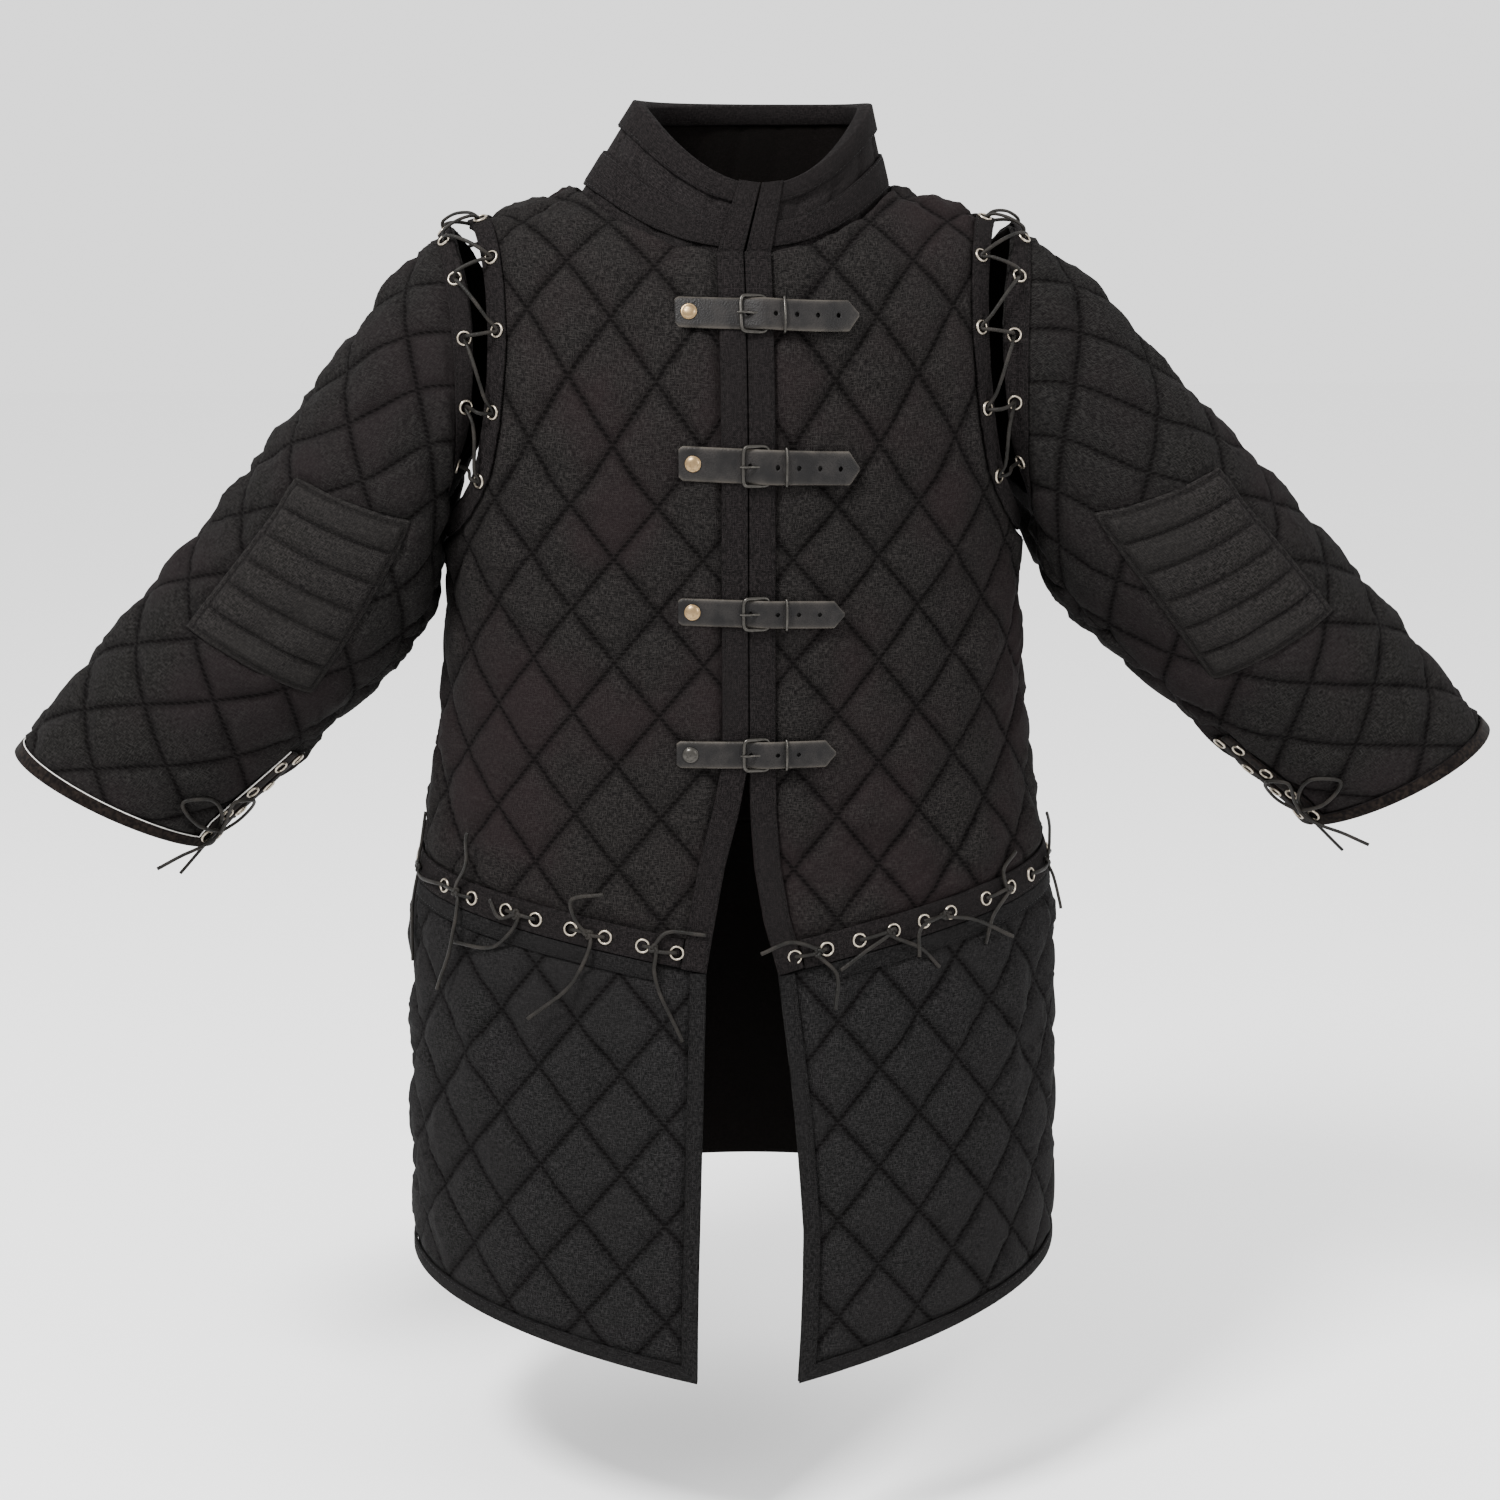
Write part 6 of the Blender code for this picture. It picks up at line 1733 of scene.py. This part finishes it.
def make_tie(number, name, tie):
    """Two tails and the knot between them."""
    s = s_of_x(tie["x"], WAIST_DROP, FRONT)
    t = float(waist_t(np.array(s)))
    row = np.array(WAIST_EYELETS["left" if s > 0 else "right"], float)
    near = np.sort(row[np.argsort(np.abs(row - s))[:2]])
    ends = [tie["first"], tie["last"]]
    away = [steps[-1][0] for steps in ends]
    holes = near if away[0] < away[1] else near[::-1]
    lift = TAIL_LIFT * (number % 2)
    tails = []
    for steps, hole in zip(ends, holes):
        route = [(hole, float(waist_t(np.array(hole)))), (s, t), *[(s + a, t + b) for a, b in steps]]
        flat = curve_through(route, TAIL_POINTS)
        from_knot = np.linalg.norm(flat - (s, t), axis=1)
        past = np.arange(TAIL_POINTS) > np.argmin(from_knot)
        out = THONG_HIGH + lift * from_knot / from_knot[-1]
        into = BAND_TOP - 0.3 + 3.0 * step_up(np.linalg.norm(flat - route[0], axis=1), 0, 7)
        blend = step_up(from_knot, 0, 9)
        high = np.where(past, KNOT_HIGH + 0.4 + (out - KNOT_HIGH - 0.4) * blend, into)
        high = np.convolve(np.pad(high, 2, mode="edge"), np.ones(5) / 5, mode="valid")
        tails.append(np.column_stack([flat, high]))
    tied = knot(f"tie_{name}_knot", (s, t, KNOT_HIGH + 0.6), front_base, turn=number * 0.7)
    for part, (flat, others) in enumerate(zip(tails, ([tied], [])), 1):
        cord_piece(f"tie_{name}_tail_{part}", flat, front_base, [f"tie_{name}"])


for number, (name, tie) in enumerate(TIES.items()):
    make_tie(number, name, tie)
print("ties:", len(TIES))

# %% [markdown]
# ## Armhole laces
#
# One long thong joins each sleeve to the body. It goes to and fro between eyelets on the
# armhole and eyelets on the sleeve's head, from the front of the underarm over the shoulder to
# the back. Its place between the two edges is a triangle wave with rounded turns, and it dips
# into each eyelet.

# %% Armhole laces
# Place is -1 at the underarm in front, 0 at the shoulder's tip and 1 at the underarm behind
LACE_INSET, LACE_FIRST, LACE_LAST, LACE_PERIOD = 9.0, -0.705, 0.57, 0.15
LACE_RISE, LACE_BULGE = 1.5, 4.5  # how much higher it lies on the sleeve, and between two eyelets
LACE_POINTS, LACE_SHARP = 561, 0.985  # the nearer to one, the sharper are its turns


def armhole_points(place, side, high):
    """Points and normals beside the armhole's edge. Place is negative on the front."""
    found = []
    for half in (FRONT, BACK):
        inner = offset_line(armhole_line(half, 25), LACE_INSET)
        s = side * np.interp(np.abs(place), np.linspace(0, 1, 25), inner[:, 0])
        t = np.interp(np.abs(place), np.linspace(0, 1, 25), inner[:, 1])
        points, up = laid(s, t, body_base(half))
        found.append((points + up * high[:, None], up))
    ahead = (place < 0)[:, None]
    return tuple(np.where(ahead, one, other) for one, other in zip(*found))


def head_points(place, side, high):
    """Points and normals beside the sleeve head's edge, at the same share of its round."""
    s = (SEAM_TURN - math.pi * place) * HEAD_ROUND / (2 * math.pi)
    points, up = laid(s, head_line(s) + LACE_INSET, sleeve_base(side))
    return points + up * high[:, None], up


def dip(share, depth):
    """How far the lace drops into the eyelet as it nears the end of its way."""
    return depth * np.exp(-(share / 0.09) ** 2)


def make_armhole_lace(side, word):
    """The lace of one armhole, with eyelets where it turns."""
    place = np.linspace(LACE_FIRST, LACE_LAST, LACE_POINTS)
    phase = (place - LACE_FIRST) / LACE_PERIOD * 2 * math.pi
    to_arm = 0.5 + np.arcsin(LACE_SHARP * np.cos(phase)) / (2 * math.asin(LACE_SHARP))
    rise = THONG_HIGH + LACE_BULGE * 4 * to_arm * (1 - to_arm)
    body, body_up = armhole_points(place, side, rise - dip(to_arm, 3.4))
    arm, arm_up = head_points(place, side, rise + LACE_RISE - dip(1 - to_arm, 5.6))
    share = to_arm[:, None]
    up = unit(body_up * (1 - share) + arm_up * share)
    cord_through(f"armhole_lace_{word}_thong", (body * (1 - share) + arm * share) / 1000, up,
                 [f"armhole_lace_{word}"])
    turns = np.arange(LACE_FIRST + LACE_PERIOD / 2, LACE_LAST + 0.01, LACE_PERIOD)
    holes = np.full(len(turns), BAND_TOP)
    points, up = armhole_points(turns, side, holes)
    rings_at(f"armhole_eyelets_{word}", points, up)
    turns = np.arange(LACE_FIRST, LACE_LAST + 0.01, LACE_PERIOD)
    points, up = head_points(turns, side, np.full(len(turns), WALL_BAND + LIFT + 1.8))
    rings_at(f"sleeve_eyelets_{word}", points, up)


def rings_at(name, points, up):
    """Eyelets at points in millimetres with their normals."""
    along = unit(np.cross(up, (0.0, 1.0, 0.3)))
    eyelet_row(name, points, (along, np.cross(up, along), up))


for side, word in SIDES:
    make_armhole_lace(side, word)

# %% [markdown]
# ## Cuff laces
#
# The slit at each cuff has four pairs of eyelets, and its thong is tied over it in a bow. Each
# half of the thong is one cord: it leaves the knot, makes its loop and ends free.

# %% Cuff laces
BOW = [
    (6, 56), (2, 26), (0, 6), (-8, -14), (-30, -32), (-44, -20), (-24, -2), (0, 0),
    (10, -18), (2, -44), (-12, -40), (-6, -12), (-2, 8), (-16, 34), (-22, 52),
]
CUFF_EYELETS = np.array([-14.0, -44.0, -74.0, -104.0])
EDGING_TOP = WALL_BAND + 1.5 * LIFT + BAND_THICK
HALF_POINTS = 110


def slit_at(t, end, inset):
    """s of a place beside the slit's edge."""
    line = sleeve_edge(end)
    return np.interp(t, line[:, 1], line[:, 0]) - end * inset


def make_cuff_lace(side, word):
    """The lace's two halves and the eyelets of the slit."""
    base = sleeve_base(side)
    edge = float(sleeve_round(np.array(1.0))) / 2
    center = np.array([edge - 9, SLEEVE_LENGTH - 26])
    steps = np.array(BOW, float) + center
    rows = SLEEVE_LENGTH + CUFF_EYELETS
    holes = [np.stack([slit_at(rows, end, 6.0), rows, 0 * rows + EDGING_TOP], 1) for end in (1, -1)]
    eyelet_row(f"cuff_eyelets_{word}", *axes_at(np.concatenate(holes), base))
    tied = knot(f"cuff_lace_{word}_knot", (*center, THONG_HIGH + 1.0), base)
    halves = (steps[7::-1], steps[7:])
    for part, route in enumerate(halves):
        flat = curve_through(route, HALF_POINTS)
        share = np.linspace(0, 1, len(flat))
        if part == 0:
            known = [0, 0.56, 0.66, 1], [THONG_HIGH + 2.2, THONG_HIGH, KNOT_HIGH, KNOT_HIGH]
        else:
            known = [0, 1], [THONG_HIGH + 2.2, THONG_HIGH + 4]
        high = np.interp(share, *known)
        cord_piece(f"cuff_lace_{word}_half_{part + 1}", np.column_stack([flat, high]), base,
                   [f"cuff_lace_{word}"])


for side, word in SIDES:
    make_cuff_lace(side, word)

# %% [markdown]
# ## Floor and light
#
# Black cloth needs light that grazes it, so that each diamond has a lit side and a shaded one.
# The key stands high on the left, a weaker panel fills from the right, two faint ones mark the
# outline from behind, and the pale room does the rest.


# %% Floor, room and lights
def area_light(name, place, target, size, power):
    """A square panel of light turned towards a target."""
    lamp = bpy.data.lights.new(name, "AREA")
    lamp.size, lamp.energy = size, power
    made = bpy.data.objects.new(name, lamp)
    bpy.context.scene.collection.objects.link(made)
    made.location = place
    away = np.array(place) - np.array(target)
    level = math.hypot(away[0], away[1])
    made.rotation_euler = (math.atan2(level, away[2]), 0, math.atan2(away[0], -away[1]))


FLOOR_AT = -1.02
floor_mesh = bpy.data.meshes.new("floor")
floor_mesh.from_pydata([(x, y, FLOOR_AT) for x, y in ((-9, -6), (9, -6), (9, 9), (-9, 9))], [],
                       [(0, 1, 2, 3)])
floor = bpy.data.objects.new("floor", floor_mesh)
bpy.context.scene.collection.objects.link(floor)
pale, _, pale_shader = new_material("pale paper floor", 0.9)
pale_shader.inputs["Base Color"].default_value = linear("fafafa")
floor_mesh.materials.append(pale)
area_light("key", (-1.5, -1.5, 2.3), (0, 0, -0.4), 0.8, 230)
area_light("fill", (2.3, -1.6, 0.8), (0, 0, -0.4), 1.2, 45)
area_light("rim left", (-2.4, 0.9, 0.7), (0, 0, -0.3), 1.2, 10)
area_light("rim right", (2.4, 0.9, 0.7), (0, 0, -0.3), 1.2, 10)
world = bpy.data.worlds.new("room")
bpy.context.scene.world = world
world.use_nodes = True
world.node_tree.nodes["Background"].inputs["Color"].default_value = linear("ffffff")
world.node_tree.nodes["Background"].inputs["Strength"].default_value = 1.7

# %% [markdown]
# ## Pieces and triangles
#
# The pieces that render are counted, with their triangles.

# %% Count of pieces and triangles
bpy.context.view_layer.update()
pieces = [o for o in bpy.context.scene.objects if o.type == "MESH" and not o.hide_render]
count = sum(len(p.vertices) - 2 for o in pieces for p in o.data.polygons)
print("pieces", len(pieces), "triangles", count)
